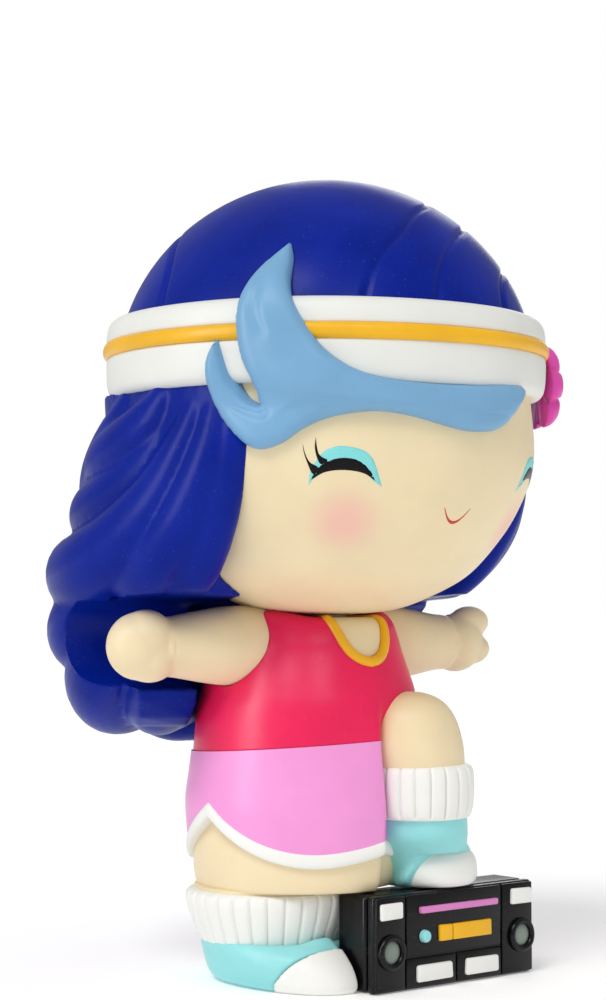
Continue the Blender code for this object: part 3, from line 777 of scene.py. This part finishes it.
def clear_of_body(places):
    """Keeps the hair off the head inside it, and behind the arms as the head turns."""
    axis, z = np.array((0, HEAD_Y)), places[:, 2]
    from_axis = places[:, :2] - axis
    reach = np.linalg.norm(from_axis, axis=1)
    bare = np.interp(z, [z for _, z in FACE_CURVE], [r for r, _ in FACE_CURVE])
    least = np.where((z > 37.0) & (z < 59.0), bare + 0.05, 0.0)
    grow = np.where(reach < least, least / np.maximum(reach, 1e-6), 1.0)
    places[:, :2] = axis + from_axis * grow[:, None]
    out = np.abs(places[:, 0])
    lean = np.where(places[:, 0] < 0, ARM_LEAN[-1], ARM_LEAN[1])
    off = z - SHOULDER_Z - 0.15
    past = np.maximum(np.abs(off) - 4.25, 0.0) * np.where(off > 0, 10.0, 2.6)
    behind_arms = (0.4 + SWIVEL_ROOM * out + lean * (out - SHOULDER_X) - past
                   + np.sqrt(np.maximum(ARM_ROOM ** 2 - off ** 2, 0.0)))
    places[:, 1] = np.where(off < 6.5, np.maximum(places[:, 1], behind_arms), places[:, 1])
    return places


def make_long_hair():
    blobs = [hair_core()]
    for locks, sways in ((SIDE_LOCKS, (0.0, 1.6)), (BACK_LOCKS, (0.0, 2.2))):
        for side, sway in zip((-1, 1), sways):
            blobs += [lock(stations, side, sway) for stations in locks]
    sculpt("long_wavy_hair", blobs, 0.3, 3, HAIR, "head", ["hair_back"], clear_of_body)


# Arms

# Distance out from the shoulder and radius, and for each hand its rounds: out, back, up and radii
ARM = ((-1.6, 3.95), (0.0, 3.98), (3.0, 3.9), (5.5, 3.6), (7.8, 3.2), (9.4, 2.95), (10.6, 2.9))


HANDS = {-1: ((12.75, 0.0, 0.1, 3.2, 2.9, 3.3), (12.2, -0.4, 0.75, 2.9, 2.6, 2.9),
              (11.7, -0.2, -0.95, 2.8, 2.7, 2.5)),
         1: ((12.4, 0.1, -0.1, 3.1, 2.9, 3.1), (14.2, 0.1, -0.75, 2.3, 2.4, 1.75),
             (13.9, -0.4, 2.1, 2.35, 1.7, 1.7))}


def shoulder(side):
    """Centre of an arm's seat and the direction in which the arm points."""
    return Vector((side * SHOULDER_X, 0, SHOULDER_Z)), Vector((side, ARM_LEAN[side], 0)).normalized()


def make_arm(side):
    """A short arm with its mitten hand; the plug end runs on into the shoulder."""
    base, out = shoulder(side)
    name = "right_arm" if side < 0 else "left_arm"
    stations = through(ARM, 6)
    blobs = [tube([base + out * along for along, _ in stations], [r for _, r in stations], 56),
             tube([base + out * d for d in (-4.0, -3.8, -3.2, -3.1, -1.0)],
                  [1.7, 1.95, 1.95, 1.55, 1.55], 32)]
    turn = Vector((1, 0, 0)).rotation_difference(out).to_matrix()
    for along, back, up, *radii in HANDS[side]:
        blobs.append(ball(base + out * along + Vector((0, back, up)), radii, turn, 36))
    sculpt(f"{name}_and_mitt", blobs, 0.2, 5, SKIN_LIMB, name, [name], cuts=[wrist_crease(base, out)])


def wrist_crease(base, out):
    """The thin curved groove between hand and wrist on the side that faces forward."""
    across = UP.cross(out)
    if across.y > 0:
        across = -across
    path = [base + out * (10.1 + 0.9 * t * t) + across * (3.05 * math.cos(t)) + UP * (3.0 * math.sin(t))
            for t in np.linspace(-0.95, 0.95, 15)]
    sizes = [0.02 + 0.26 * math.cos(1.52 * t) ** 2 for t in np.linspace(-1, 1, 15)]
    return tube(path, sizes, 12, across)


# Body

def body_place(turn_deg, radius, z):
    turn = math.radians(turn_deg)
    return Vector((radius * math.sin(turn), -radius * math.cos(turn), z))


def waist(turn_deg):
    """Height of the line between tank top and shorts; it climbs towards the raised leg."""
    return WAIST - 0.15 + 0.85 * math.cos(math.radians(turn_deg - 30))


def yielded(turn_deg, z):
    """How far the body gives way where the raised leg is pressed into it."""
    turn = (turn_deg + 180) % 360 - 180
    return 1.8 * ease(turn, -3.5, 3.0) * (1 - ease(turn, 52, 66)) * (1 - ease(z, 22.0, 29.5))


CHEST_R = 9.0
CHEST_DEGREE = math.radians(1) * CHEST_R


def on_tank(u, v):
    return body_place(u / CHEST_DEGREE, radius_at(TANK_CURVE, v), v)


# Right half of the neckline: distance round from its middle and height, for the trim's centre line
NECKLINE = ((0.0, 31.75), (1.0, 32.0), (1.9, 32.6), (2.6, 33.5), (3.1, 34.5), (3.6, 35.5), (4.1, 36.4))


def neckline_points(grow):
    """The rounded V of the neckline in millimetres round and up; grow widens it."""
    half = dense([(-u, z) for u, z in reversed(NECKLINE)], 5)
    line = half + [(-u, z) for u, z in reversed(half[:-1])]
    moved = []
    for i, (u, z) in enumerate(line):
        a, b = line[max(i - 1, 0)], line[min(i + 1, len(line) - 1)]
        along = Vector((b[0] - a[0], b[1] - a[1])).normalized()
        moved.append((u + along.y * grow - 0.2, z - along.x * grow))
    return moved


def make_torso():
    """Tank top with round arm seats and the chest set into its neckline."""
    line = neckline_points(0.0)

    def shift(turn, r, z):
        angle = (turn + math.pi) % math.tau - math.pi
        turn_deg = math.degrees(angle)
        z += (waist(turn_deg) - WAIST) * (1 - ease(z, WAIST, 30.0))
        if r > 4:
            z += 0.75 * ease(z, 33.8, 36.0) * ease(abs(turn_deg), 32, 75)
        if r > 10:
            r -= yielded(turn_deg, z)
        u = math.degrees(angle) * CHEST_DEGREE
        if abs(angle) > 1.2 or z < 29:
            return r, z
        near = float(line_distance(np.array([[u, z]]), line)[0])
        side = near if inside(line, u, z) else -near
        return r - 0.42 * ease(side, -0.5, 0.1) * (r > 6.2), z

    outline = TANK_CURVE + [(8.6, WAIST), (8.4, 25.0), (6.0, 28.4), (6.0, 34.3), (2.3, 34.6), (2.3, 35.9)]
    torso = lathe("tank_top", outline, TANK_RED, "figure", ["torso_shell"], 220, shift, axis_y=0.0)
    for side in (-1, 1):
        base, out = shoulder(side)
        cut(torso, tube([base - out * 1.7, base + out * 6], [4.0, 4.0], 72))
        cut(torso, tube([base - out * 4.5, base + out * 0.5], [1.8, 1.8], 32))
    trim = neckline_points(0.48) + neckline_points(-0.48)[::-1]
    pillow("neckline_edge", trim, on_tank, rounded(0.36, 0.55, 0.05), YELLOW, "figure",
           ["neckline_trim"], cell=0.22, sink=0.6)

    def under_tank(u, v):
        return body_place(u / CHEST_DEGREE, radius_at(TANK_CURVE, v) - 0.35, v)

    pillow("bare_chest", neckline_points(-0.3), under_tank, rounded(0.14, 0.4), SKIN_LIMB, "figure",
           ["chest_panel"], cell=0.3, sink=0.4)
    profile = [(0.0, 33.3), (2.1, 33.3), (2.1, 38.8), (4.2, 38.9), (4.3, 39.5), (3.2, 40.5), (0.0, 40.6)]
    lathe("neck_mushroom", profile, BARE, "figure", ["neck_plug"], 48, sharp=35)


NOTCH, LOW_TURN = 92.0, 36.0           # where the hem peaks and where it hangs lowest, in degrees


def hem_top(turn_deg):
    """Height of the upper edge of the white hem round the shorts; it peaks at each hip."""
    turn = abs((turn_deg + 180) % 360 - 180)
    if turn < LOW_TURN:
        return 13.5 + 1.2 * (1 - turn / LOW_TURN) ** 1.6
    if turn < NOTCH:
        return 13.5 + 4.6 * ((turn - LOW_TURN) / (NOTCH - LOW_TURN)) ** 2.1
    return 13.1 + 5.0 * max(0.0, 1 - (turn - NOTCH) / 44.0) ** 1.25


HEM_WIDE = 1.45


def sleeve(name, levels, finish, nodes, sharp=None):
    """A closed sleeve round the body: levels(degrees) gives its closed (radius, height) outline."""
    steps, points = 288, []
    for i in range(steps):
        turn_deg = -180 + 360 * i / steps
        outline = levels(turn_deg)
        points += [body_place(turn_deg, r, z) for r, z in outline]
    piece(name, points, strip_faces(steps, len(outline)), finish, "figure", nodes, sharp)


def make_shorts():
    inner = 9.05

    def cloth(turn_deg):
        low = hem_top(turn_deg) - 0.25
        top = waist(turn_deg) - 0.02
        heights = [low + (top - low) * i / 16 for i in range(17)]
        outer = [(radius_at(SHORTS_CURVE, z) - yielded(turn_deg, z), z) for z in reversed(heights)]
        return [(inner, top)] + outer + [(inner, low)]

    def edge(turn_deg):
        top = hem_top(turn_deg)
        low = top - HEM_WIDE
        face = radius_at(SHORTS_CURVE, low) - 0.1 - yielded(turn_deg, low)
        mid, half = (top + low) / 2, HEM_WIDE / 2
        lip = [(face + 0.45 * math.cos(a) ** 0.7, mid + half * math.sin(a))
               for a in (math.radians(t) for t in range(88, -89, -11))]
        return [(inner - 0.1, top)] + lip + [(inner - 0.1, low)]

    sleeve("gym_shorts", cloth, SHORTS_PINK, ["shorts_shell"], sharp=60)
    sleeve("shorts_hem", edge, WHITE, ["shorts_trim"])


def circle(x, y, radius, z, steps=96):
    return [Vector((x + radius * math.cos(a), y + radius * math.sin(a), z))
            for a in turns(steps)]


def make_hips():
    """Skin of the hips under the shorts, drawn in and over to the standing leg."""
    stations = through([(-3.9, 0.9, 7.7, 8.75), (-3.85, 0.9, 7.95, 9.2), (-2.6, 0.6, 9.0, 9.5),
                        (-0.7, 0.1, 10.6, 9.5), (-0.2, 0.0, 11.2, 9.9), (0.0, 0.0, 11.55, 11.2),
                        (0, 0, 11.6, 13.6), (0, 0, 11.2, 17.0), (0, 0, 10.9, WAIST - 0.7)], 5)
    rings = []
    for x, y, r, z in stations:
        ring = circle(x, y, r, z, 120)
        for i, spot in enumerate(ring):
            turn_deg = math.degrees(math.atan2(spot.x, -spot.y))
            flat = Vector((spot.x, spot.y, 0)).normalized()
            ring[i] = spot - flat * (0.9 * yielded(turn_deg, z))
        rings.append(ring)
    rings += [circle(0, 0, 6.5, WAIST - 0.7, 120), circle(0, 0, 6.5, 14.0, 120)]
    piece("hips_and_thigh", *capped(rings), SKIN_LIMB, "figure", ["hips"])


def cuff(name, x, y, stations, ribs, nodes):
    """A ribbed sock cuff: soft flat ribs parted by narrow grooves that fade at the rims."""
    per_rib = 14
    path = through(stations, 7)
    low, high = path[0][1], path[-1][1]
    rings = []
    for radius, z in path:
        part = (z - low) / (high - low)
        fade = ease(part, 0.0, 0.1) * (1 - ease(part, 0.92, 1.0))
        ring = []
        for i in range(ribs * per_rib):
            turn = math.tau * i / (ribs * per_rib)
            phase = (i % per_rib) / per_rib
            groove = math.exp(-((min(phase, 1 - phase)) / 0.07) ** 2)
            crown = 0.05 * math.sin(math.pi * phase)
            r = radius + fade * (crown - 0.3 * groove) + wobble(turn, (3, 5), 0.03)
            ring.append(Vector((x + r * math.cos(turn), y + r * math.sin(turn), z)))
        rings.append(ring)
    piece(name, *capped(rings), WHITE, "figure", nodes)


def solid(rings):
    """Points and faces of a closed solid through rings of equal length."""
    count = len(rings[0])
    points = [Vector(point) for ring in rings for point in ring]
    faces = strip_faces(len(rings), count, closed=False)
    faces += [tuple(range(count)), tuple(range(len(points) - count, len(points)))]
    return points, faces


def block(low, high, bevel, segments):
    """Points and faces of a box with rounded edges."""
    low, high = Vector(low), Vector(high)
    bm = bmesh.new()
    bmesh.ops.create_cube(bm, size=1.0)
    for vert in bm.verts:
        vert.co = Vector([(a + b) / 2 + (b - a) * c for a, b, c in zip(low, high, vert.co)])
    bmesh.ops.bevel(bm, geom=list(bm.edges), offset=bevel, segments=segments, profile=0.5,
                    affect="EDGES", clamp_overlap=True)
    bm.verts.index_update()
    points = [vert.co.copy() for vert in bm.verts]
    faces = [tuple(vert.index for vert in face.verts) for face in bm.faces]
    bm.free()
    return points, faces


def merge(blobs):
    points, faces = [], []
    for more, skin in blobs:
        faces += [tuple(i + len(points) for i in face) for face in skin]
        points += more
    return points, faces


def dial(profile, x, z, steps):
    """An outline of (radius, y) turned round an axis that runs front to back."""
    points = []
    for turn in turns(steps):
        points += [Vector((x + r * math.cos(turn), y, z + r * math.sin(turn))) for r, y in profile]
    return points, tidy(points, strip_faces(steps, len(profile)))


# Legs

def foot_ring(x, heel, toe, half, z):
    """A level outline of a foot: rounded, and a little wider at the heel."""
    middle_y, reach = (heel + toe) / 2, (heel - toe) / 2
    ring = []
    for turn in turns(96):
        width = half * (1 + 0.08 * math.sin(turn))
        across = math.copysign(abs(math.cos(turn)) ** 0.85, math.cos(turn))
        ring.append(Vector((x + width * across, middle_y + reach * math.sin(turn), z)))
    return ring


def smooth_rings(stations):
    return [foot_ring(*station) for station in through(stations, 5)]


def wedge(outline, low_x, high_x):
    """A solid whose outline of (y, height) is the same from low_x to high_x."""
    return solid([[(x, y, z) for y, z in outline] for x in (low_x, high_x)])


def fold(path, radii):
    """A raised fold of painted fabric that follows a path over a shoe."""
    line = through([(*place, r) for place, r in zip(path, radii)], 6)
    return tube([p[:3] for p in line], [p[3] for p in line], 20, (0, 0.3, 1))


def make_right_foot():
    cuff("right_ribbed_cuff", -4.1, 0.9, ((6.6, 4.0), (7.05, 4.15), (7.6, 5.4), (8.2, 6.9), (8.5, 8.1),
                                     (8.45, 8.8), (8.1, 9.15), (7.4, 9.25)), 30,
         ["right_sock_cuff"])
    shape = ((-4.0, 6.6, -10.8, 5.2, 0.0), (-4.1, 7.0, -11.2, 5.9, 0.4), (-4.2, 7.3, -11.3, 6.4, 1.2),
             (-4.3, 7.4, -10.7, 6.7, 2.4), (-4.3, 7.5, -9.6, 6.9, 3.5), (-4.2, 7.5, -8.0, 7.0, 4.4))
    ridge = fold([(-9.6, -2.4, 1.5), (-8.9, -4.4, 2.0), (-7.3, -6.2, 3.0), (-5.4, -7.1, 3.9),
                  (-3.4, -7.4, 4.3)], (0.3, 0.75, 0.95, 0.95, 0.8))
    low, high = node_box("stereo_body")
    room = block((low.x - 0.3, -16, -1), (22, high.y + 0.35, 11), 0.01, 1)
    front = wedge(((-20, -2), (-3.8, -2), (-10.7, 6.5), (-20, 6.5)), -16, 8)
    sculpt("right_slip_shoe", [solid(smooth_rings(shape)), ridge], 0.22, 4, AQUA, "figure",
           ["right_shoe"], on_ground, cuts=[room, front])
    cap = ((-4.0, 6.6, -10.9, 5.4, 0.0), (-4.1, 7.0, -11.35, 6.1, 0.4), (-4.2, 7.3, -11.4, 6.55, 1.2),
           (-4.3, 7.4, -10.8, 6.7, 2.4), (-4.3, 7.5, -9.8, 6.6, 3.5), (-4.2, 7.5, -8.8, 6.0, 4.3))
    behind = wedge(((20, -2), (20, 6.5), (-10.8, 6.5), (-3.95, -2)), -16, 8)
    sculpt("right_toe_guard", [solid(smooth_rings(cap))], 0.18, 5, WHITE, "figure",
           ["right_toe_cap"], on_ground, cuts=[room, behind])


def on_ground(places):
    """Flattens the sole on the floor."""
    places[:, 2] = np.maximum(places[:, 2], 0.0)
    return places


# Left leg's axis: height, then its place across and back
LEG_AXIS = ((9.4, 8.0, -9.0), (12.4, 6.9, -9.8), (15.0, 6.0, -10.3), (19.0, 5.7, -10.3),
            (24.0, 5.1, -10.1), (28.8, 4.7, -10.0))


def leg_at(z):
    heights, across, back = zip(*LEG_AXIS)
    return float(np.interp(z, heights, across)), float(np.interp(z, heights, back))


def make_left_leg():
    deck = node_box("stereo_body")[1].z
    knee = through([(4.8, 21.0), (4.95, 23.0), (4.8, 24.6), (4.35, 26.2), (3.6, 27.4), (2.65, 28.15),
                    (1.6, 28.55), (0.7, 28.7), (0.05, 28.72)], 5)
    rings = [circle(*leg_at(z), r, z, 72) for r, z in knee]
    piece("raised_knee", *capped(rings), SKIN_LIMB, "figure", ["left_knee"])
    cuff("left_ribbed_cuff", *leg_at(19.0), ((4.6, 16.3), (5.05, 16.5), (5.35, 17.6), (5.45, 19.2),
                                    (5.4, 20.6), (5.2, 21.3), (4.7, 21.65)), 21,
         ["left_sock_cuff"])
    base = deck + 0.06
    shape = ((8.1, -4.2, -13.3, 4.5, base), (8.0, -4.1, -13.6, 4.9, base + 0.45),
             (7.9, -4.2, -13.6, 5.0, base + 1.6), (7.0, -4.8, -13.6, 4.7, 12.6),
             (6.1, -5.3, -14.8, 4.75, 14.6), (5.8, -5.5, -15.0, 4.75, 16.8))
    ridge = fold([(12.2, -7.0, 10.1), (11.8, -9.3, 11.5), (10.3, -12.0, 12.7), (7.9, -13.2, 13.0),
                  (5.2, -12.8, 12.1), (3.5, -11.0, 10.6), (3.3, -9.6, 9.9)],
                 (0.5, 0.7, 0.7, 0.7, 0.7, 0.6, 0.4))
    front = wedge(((-22, 8), (-10.3, 8), (-12.3, 12.9), (-22, 12.9)), -5, 25)
    sculpt("left_slip_shoe", [solid(smooth_rings(shape)), ridge], 0.2, 5, AQUA, "figure",
           ["left_shoe"], cuts=[front])
    cap = ((8.2, -4.2, -13.4, 4.5, base), (8.2, -4.1, -13.8, 4.85, base + 0.45),
           (8.2, -4.1, -13.85, 5.0, base + 1.3), (8.3, -4.3, -13.6, 4.85, base + 2.4),
           (8.4, -4.5, -13.0, 4.3, base + 3.3), (8.5, -5.0, -12.2, 3.2, base + 3.75))
    behind = wedge(((5, 8), (5, 14), (-12.1, 14), (-10.2, 8)), -5, 25)
    sculpt("left_toe_guard", [solid(smooth_rings(cap))], 0.18, 8, WHITE, "figure",
           ["left_toe_cap"], cuts=[behind])


# Stereo

def uneven(points, size, seed):
    """Moves points a little, smoothly, so that moulded edges don't run dead straight."""
    for i, point in enumerate(points):
        wave = [math.sin(point.x * (0.9 + 0.13 * k) + point.z * (1.1 - 0.1 * k) + seed + 2.1 * k)
                + 0.6 * math.sin(point.z * 2.3 + point.y * 1.7 + seed * 1.3 + k) for k in range(3)]
        points[i] = point + Vector(wave) * size
    return points


def make_stereo():
    """The portable stereo under the raised foot: case, thick front and its controls."""
    (x0, _, z0), (x1, y1, z1) = node_box("stereo_body")
    face = -13.42                      # where the front panels stand

    def put(name, blobs, finish, nodes, rough_edge, seed, sharp=50):
        points, faces = merge(blobs)
        piece(name, uneven(points, rough_edge, seed), faces, finish, "figure", nodes, sharp)

    def slab(low_x, high_x, low_z, high_z, proud, bevel, segments=4):
        return block((low_x, face - proud, low_z), (high_x, face + 0.2, high_z), bevel, segments)

    def turned(profile, x, z, steps=72):
        return dial([(r, face - proud) for r, proud in profile], x, z, steps)

    put("stereo_case", [block((x0 + 0.1, -11.9, z0), (x1 - 0.1, y1, z1 - 0.05), 0.45, 4)],
        GLOSS_BLACK, ["stereo_body"], 0.03, 0.0)
    left, right, keys_left, keys_top, gap, rim = 1.06, 14.2, 7.9, 3.15, 0.09, 0.2
    panels = [block((x0 + 0.05, face + 0.25, z0 + 0.02), (x1 - 0.05, -12.1, z1 - 0.02), 0.35, 4)]
    for low_x, high_x, low_z, high_z in ((x0 + rim, left - gap, rim, 9.2),
                                         (right + gap, x1 - rim, rim, 9.2),
                                         (left + gap, right - gap, keys_top + gap, 9.2),
                                         (left + gap, keys_left - gap, rim, keys_top - gap),
                                         (keys_left + gap, right - gap, rim, keys_top - gap)):
        panels.append(block((low_x, face, low_z), (high_x, face + 0.8, high_z), 0.16, 3))
    put("stereo_front_panels", panels, GLOSS_BLACK, ["stereo_front"], 0.025, 2.0)
    # Profiles of the round controls: radius and distance proud of the front
    ring = dense([(1.72, -0.2), (1.74, 0.25), (1.62, 0.44), (1.4, 0.5), (1.18, 0.42), (1.08, 0.2),
                  (1.08, -0.2)], 4)
    disc = [(0.0, -0.2), (1.1, -0.2), (1.1, 0.05), (1.04, 0.12), (0.7, 0.2), (0.3, 0.24), (0.0, 0.25)]
    knob = [(0.0, -0.2), (0.62, -0.2), (0.62, 0.2), (0.55, 0.42), (0.35, 0.52), (0.0, 0.55)]
    for label, x in (("right", -0.94), ("left", 16.85)):
        put(f"{label}_speaker_rim", [turned(ring, x, 3.95)], GLOSS_BLACK, [f"{label}_speaker_ring"],
            0.02, 1.0, None)
        put(f"{label}_speaker_disc", [turned(disc, x, 3.95)], GREY, [f"{label}_speaker_cone"],
            0.015, 0.5, 40)
        put(f"{label}_tape_window", [slab(x - 1.45, x + 1.45, 7.1, 8.65, 0.3, 0.2)], WHITE,
            [f"{label}_deck_window"], 0.03, 3.0)
    put("tuner_scale", [slab(2.75, 13.4, 7.35, 7.98, 0.42, 0.17, 3)], TUNER_PINK, ["tuner_strip"],
        0.03, 4.0)
    put("cassette_door", [slab(low_x, high_x, 4.4, 6.0, 0.28, 0.13, 3)
                          for low_x, high_x in ((5.4, 7.13), (7.27, 12.5))],
        YELLOW, ["cassette_window"], 0.02, 5.0)
    put("volume_knob", [turned(knob, 3.45, 5.1, 40)], KNOB_AQUA, ["tuning_knob"], 0.01, 1.5, 40)
    for label, low_x, high_x in (("right", 2.4, 7.1), ("left", 9.0, 13.5)):
        put(f"{label}_key_bar", [slab(low_x, high_x, 0.75, 2.37, 0.4, 0.26)], WHITE,
            [f"{label}_piano_key"], 0.03, 6.0 + low_x)


# Finishes

BLUSH = [(tuple(on_face(turn * DEGREE, 45.1)), 0.4, 4.5, "#f7b0ae", 0.62) for turn in (-35.6, 35.6)]
SKIN = paint("cream_skin", "#f0deb6", "skin", 0.42, 0.03, soft=0.12, spots=BLUSH)
SKIN_LIMB = paint("cream_skin_limbs", "#f0ddb6", "skin", 0.42, 0.035, soft=0.12)
HAIR = paint("royal_blue_hair", "#011f8e", "hair_blue", 0.33, 0.12, shine=0.1)
FRINGE_BLUE = paint("pale_blue_fringe", "#79aad0", "fringe_blue", 0.38, 0.05, shine=0.25)
BAND = paint("band_off_white", "#e8e9e3", "band_white", 0.45, 0.02)
YELLOW = paint("golden_yellow", "#f4b81e", "rib_yellow", 0.34, 0.06)
FLOWER = paint("flower_pink", "#e24bb0", "flower_pink", 0.34, 0.08)
SHADOW_AQUA = paint("eyeshadow_aqua", "#86dedd", "sock_aqua", 0.45, 0.06, shine=0.2)
INK = paint("lid_black", "#0b0b0e", "stereo_black", 0.3, 0.05, shine=0.15)
LIP = paint("lip_red", "#d0402f", "tank_crimson", 0.4, 0.05)
TANK_RED = paint("tank_crimson", "#ec1a57", "tank_crimson", 0.34, 0.06, shine=0.35)
SHORTS_PINK = paint("shorts_pink", "#f39bd9", "shorts_pink", 0.36, 0.04)
WHITE = paint("trim_white", "#f1f1ec", "trim_white", 0.42, 0.02)
AQUA = paint("sock_aqua", "#96dfe1", "sock_aqua", 0.38, 0.05)
KNOB_AQUA = (AQUA[0], "knob_aqua")
GLOSS_BLACK = paint("stereo_gloss_black", "#07060a", "stereo_black", 0.24, 0.1, grain=0.7, shine=0.28)
GREY = paint("speaker_grey", "#839087", "speaker_grey", 0.42, 0.06)
TUNER_PINK = paint("tuner_pink", "#dc86c6", "tuner_pink", 0.34, 0.06)
BARE = paint("bare_vinyl", "#e8d3bd", "bare_vinyl", 0.5, 0.03, soft=0.15)


# Floor, light and camera

def make_stage():
    reach = 3.0
    data = bpy.data.meshes.new("floor")
    data.from_pydata([(-reach, -reach, 0), (reach, -reach, 0), (reach, reach, 0), (-reach, reach, 0)],
                     [], [(0, 1, 2, 3)])
    floor = place_object("floor", data)
    n = Nodes("floor_white")
    tone = n.blend(n.remap(n.noise(3, 2), 0.3, 0.7, 0, 1), (0.93, 0.93, 0.93), (0.95, 0.95, 0.95))
    n.set(n.shader, Base_Color=tone, Emission_Color=tone, Emission_Strength=0.2, Roughness=0.9)
    data.materials.append(n.material)


def area_light(name, place, aim, size, power):
    """A softbox that only leaves highlights."""
    lamp = bpy.data.lights.new(name, "AREA")
    lamp.shape, lamp.energy = "RECTANGLE", power
    lamp.size, lamp.size_y = size
    obj = place_object(name, lamp)
    obj.location = Vector(place) * MM
    obj.rotation_euler = (Vector(aim) * MM - obj.location).to_track_quat("-Z", "Y").to_euler()
    obj.visible_diffuse = False


def make_light():
    world = bpy.data.worlds.new("white_room")
    world.use_nodes = True
    tree = world.node_tree
    tree.nodes.clear()
    rays = tree.nodes.new("ShaderNodeLightPath")
    last = None
    for bright, ray in ((0.6, None), (0.4, "Is Glossy Ray"), (1.0, "Is Camera Ray")):
        shade = tree.nodes.new("ShaderNodeBackground")
        shade.inputs["Color"].default_value = (1, 1, 1, 1)
        shade.inputs["Strength"].default_value = bright
        chosen = shade.outputs[0]
        if ray:
            mix = tree.nodes.new("ShaderNodeMixShader")
            for out, socket in zip((rays.outputs[ray], last, chosen), mix.inputs):
                tree.links.new(out, socket)
            chosen = mix.outputs[0]
        last = chosen
    tree.links.new(last, tree.nodes.new("ShaderNodeOutputWorld").inputs["Surface"])
    bpy.context.scene.world = world
    sun = bpy.data.lights.new("key", "SUN")
    sun.energy, sun.angle = 1.35, math.radians(24)
    shining = Vector((0.93, 0.36, -1.15))
    place_object("key", sun).rotation_euler = shining.to_track_quat("-Z", "Y").to_euler()
    area_light("window", (-330, 60, 120), (0, 0, 38), (0.1, 0.3), 0.8)
    area_light("high_window", (-150, -330, 330), (0, 0, 55), (0.14, 0.1), 0.3)
    area_light("back_window", (300, 260, 200), (0, 0, 45), (0.16, 0.2), 0.25)


def make_camera():
    turn, far, high = math.radians(-40.5), 228, 38.8
    lens = bpy.data.cameras.new("camera")
    lens.lens, lens.sensor_width, lens.sensor_fit = 80.7, 36, "AUTO"
    lens.clip_start, lens.clip_end = 0.01, 20
    camera = place_object("camera", lens)
    camera.location = Vector((far * math.sin(turn), -far * math.cos(turn), high)) * MM
    across = Vector((math.cos(turn), math.sin(turn), 0))
    target = Vector((0, 0, 47.96)) - across * 0.5
    camera.rotation_euler = (target * MM - camera.location).to_track_quat("-Z", "Y").to_euler()
    bpy.context.scene.camera = camera


make_camera()
make_head_shell()
make_cap()
make_band()
make_face()
make_fringe()
make_flower()
make_long_hair()
make_torso()
make_shorts()
make_hips()
make_arm(-1)
make_arm(1)
make_right_foot()
make_left_leg()
make_stereo()
make_stage()
make_light()
bpy.context.scene.view_settings.view_transform = "Standard"
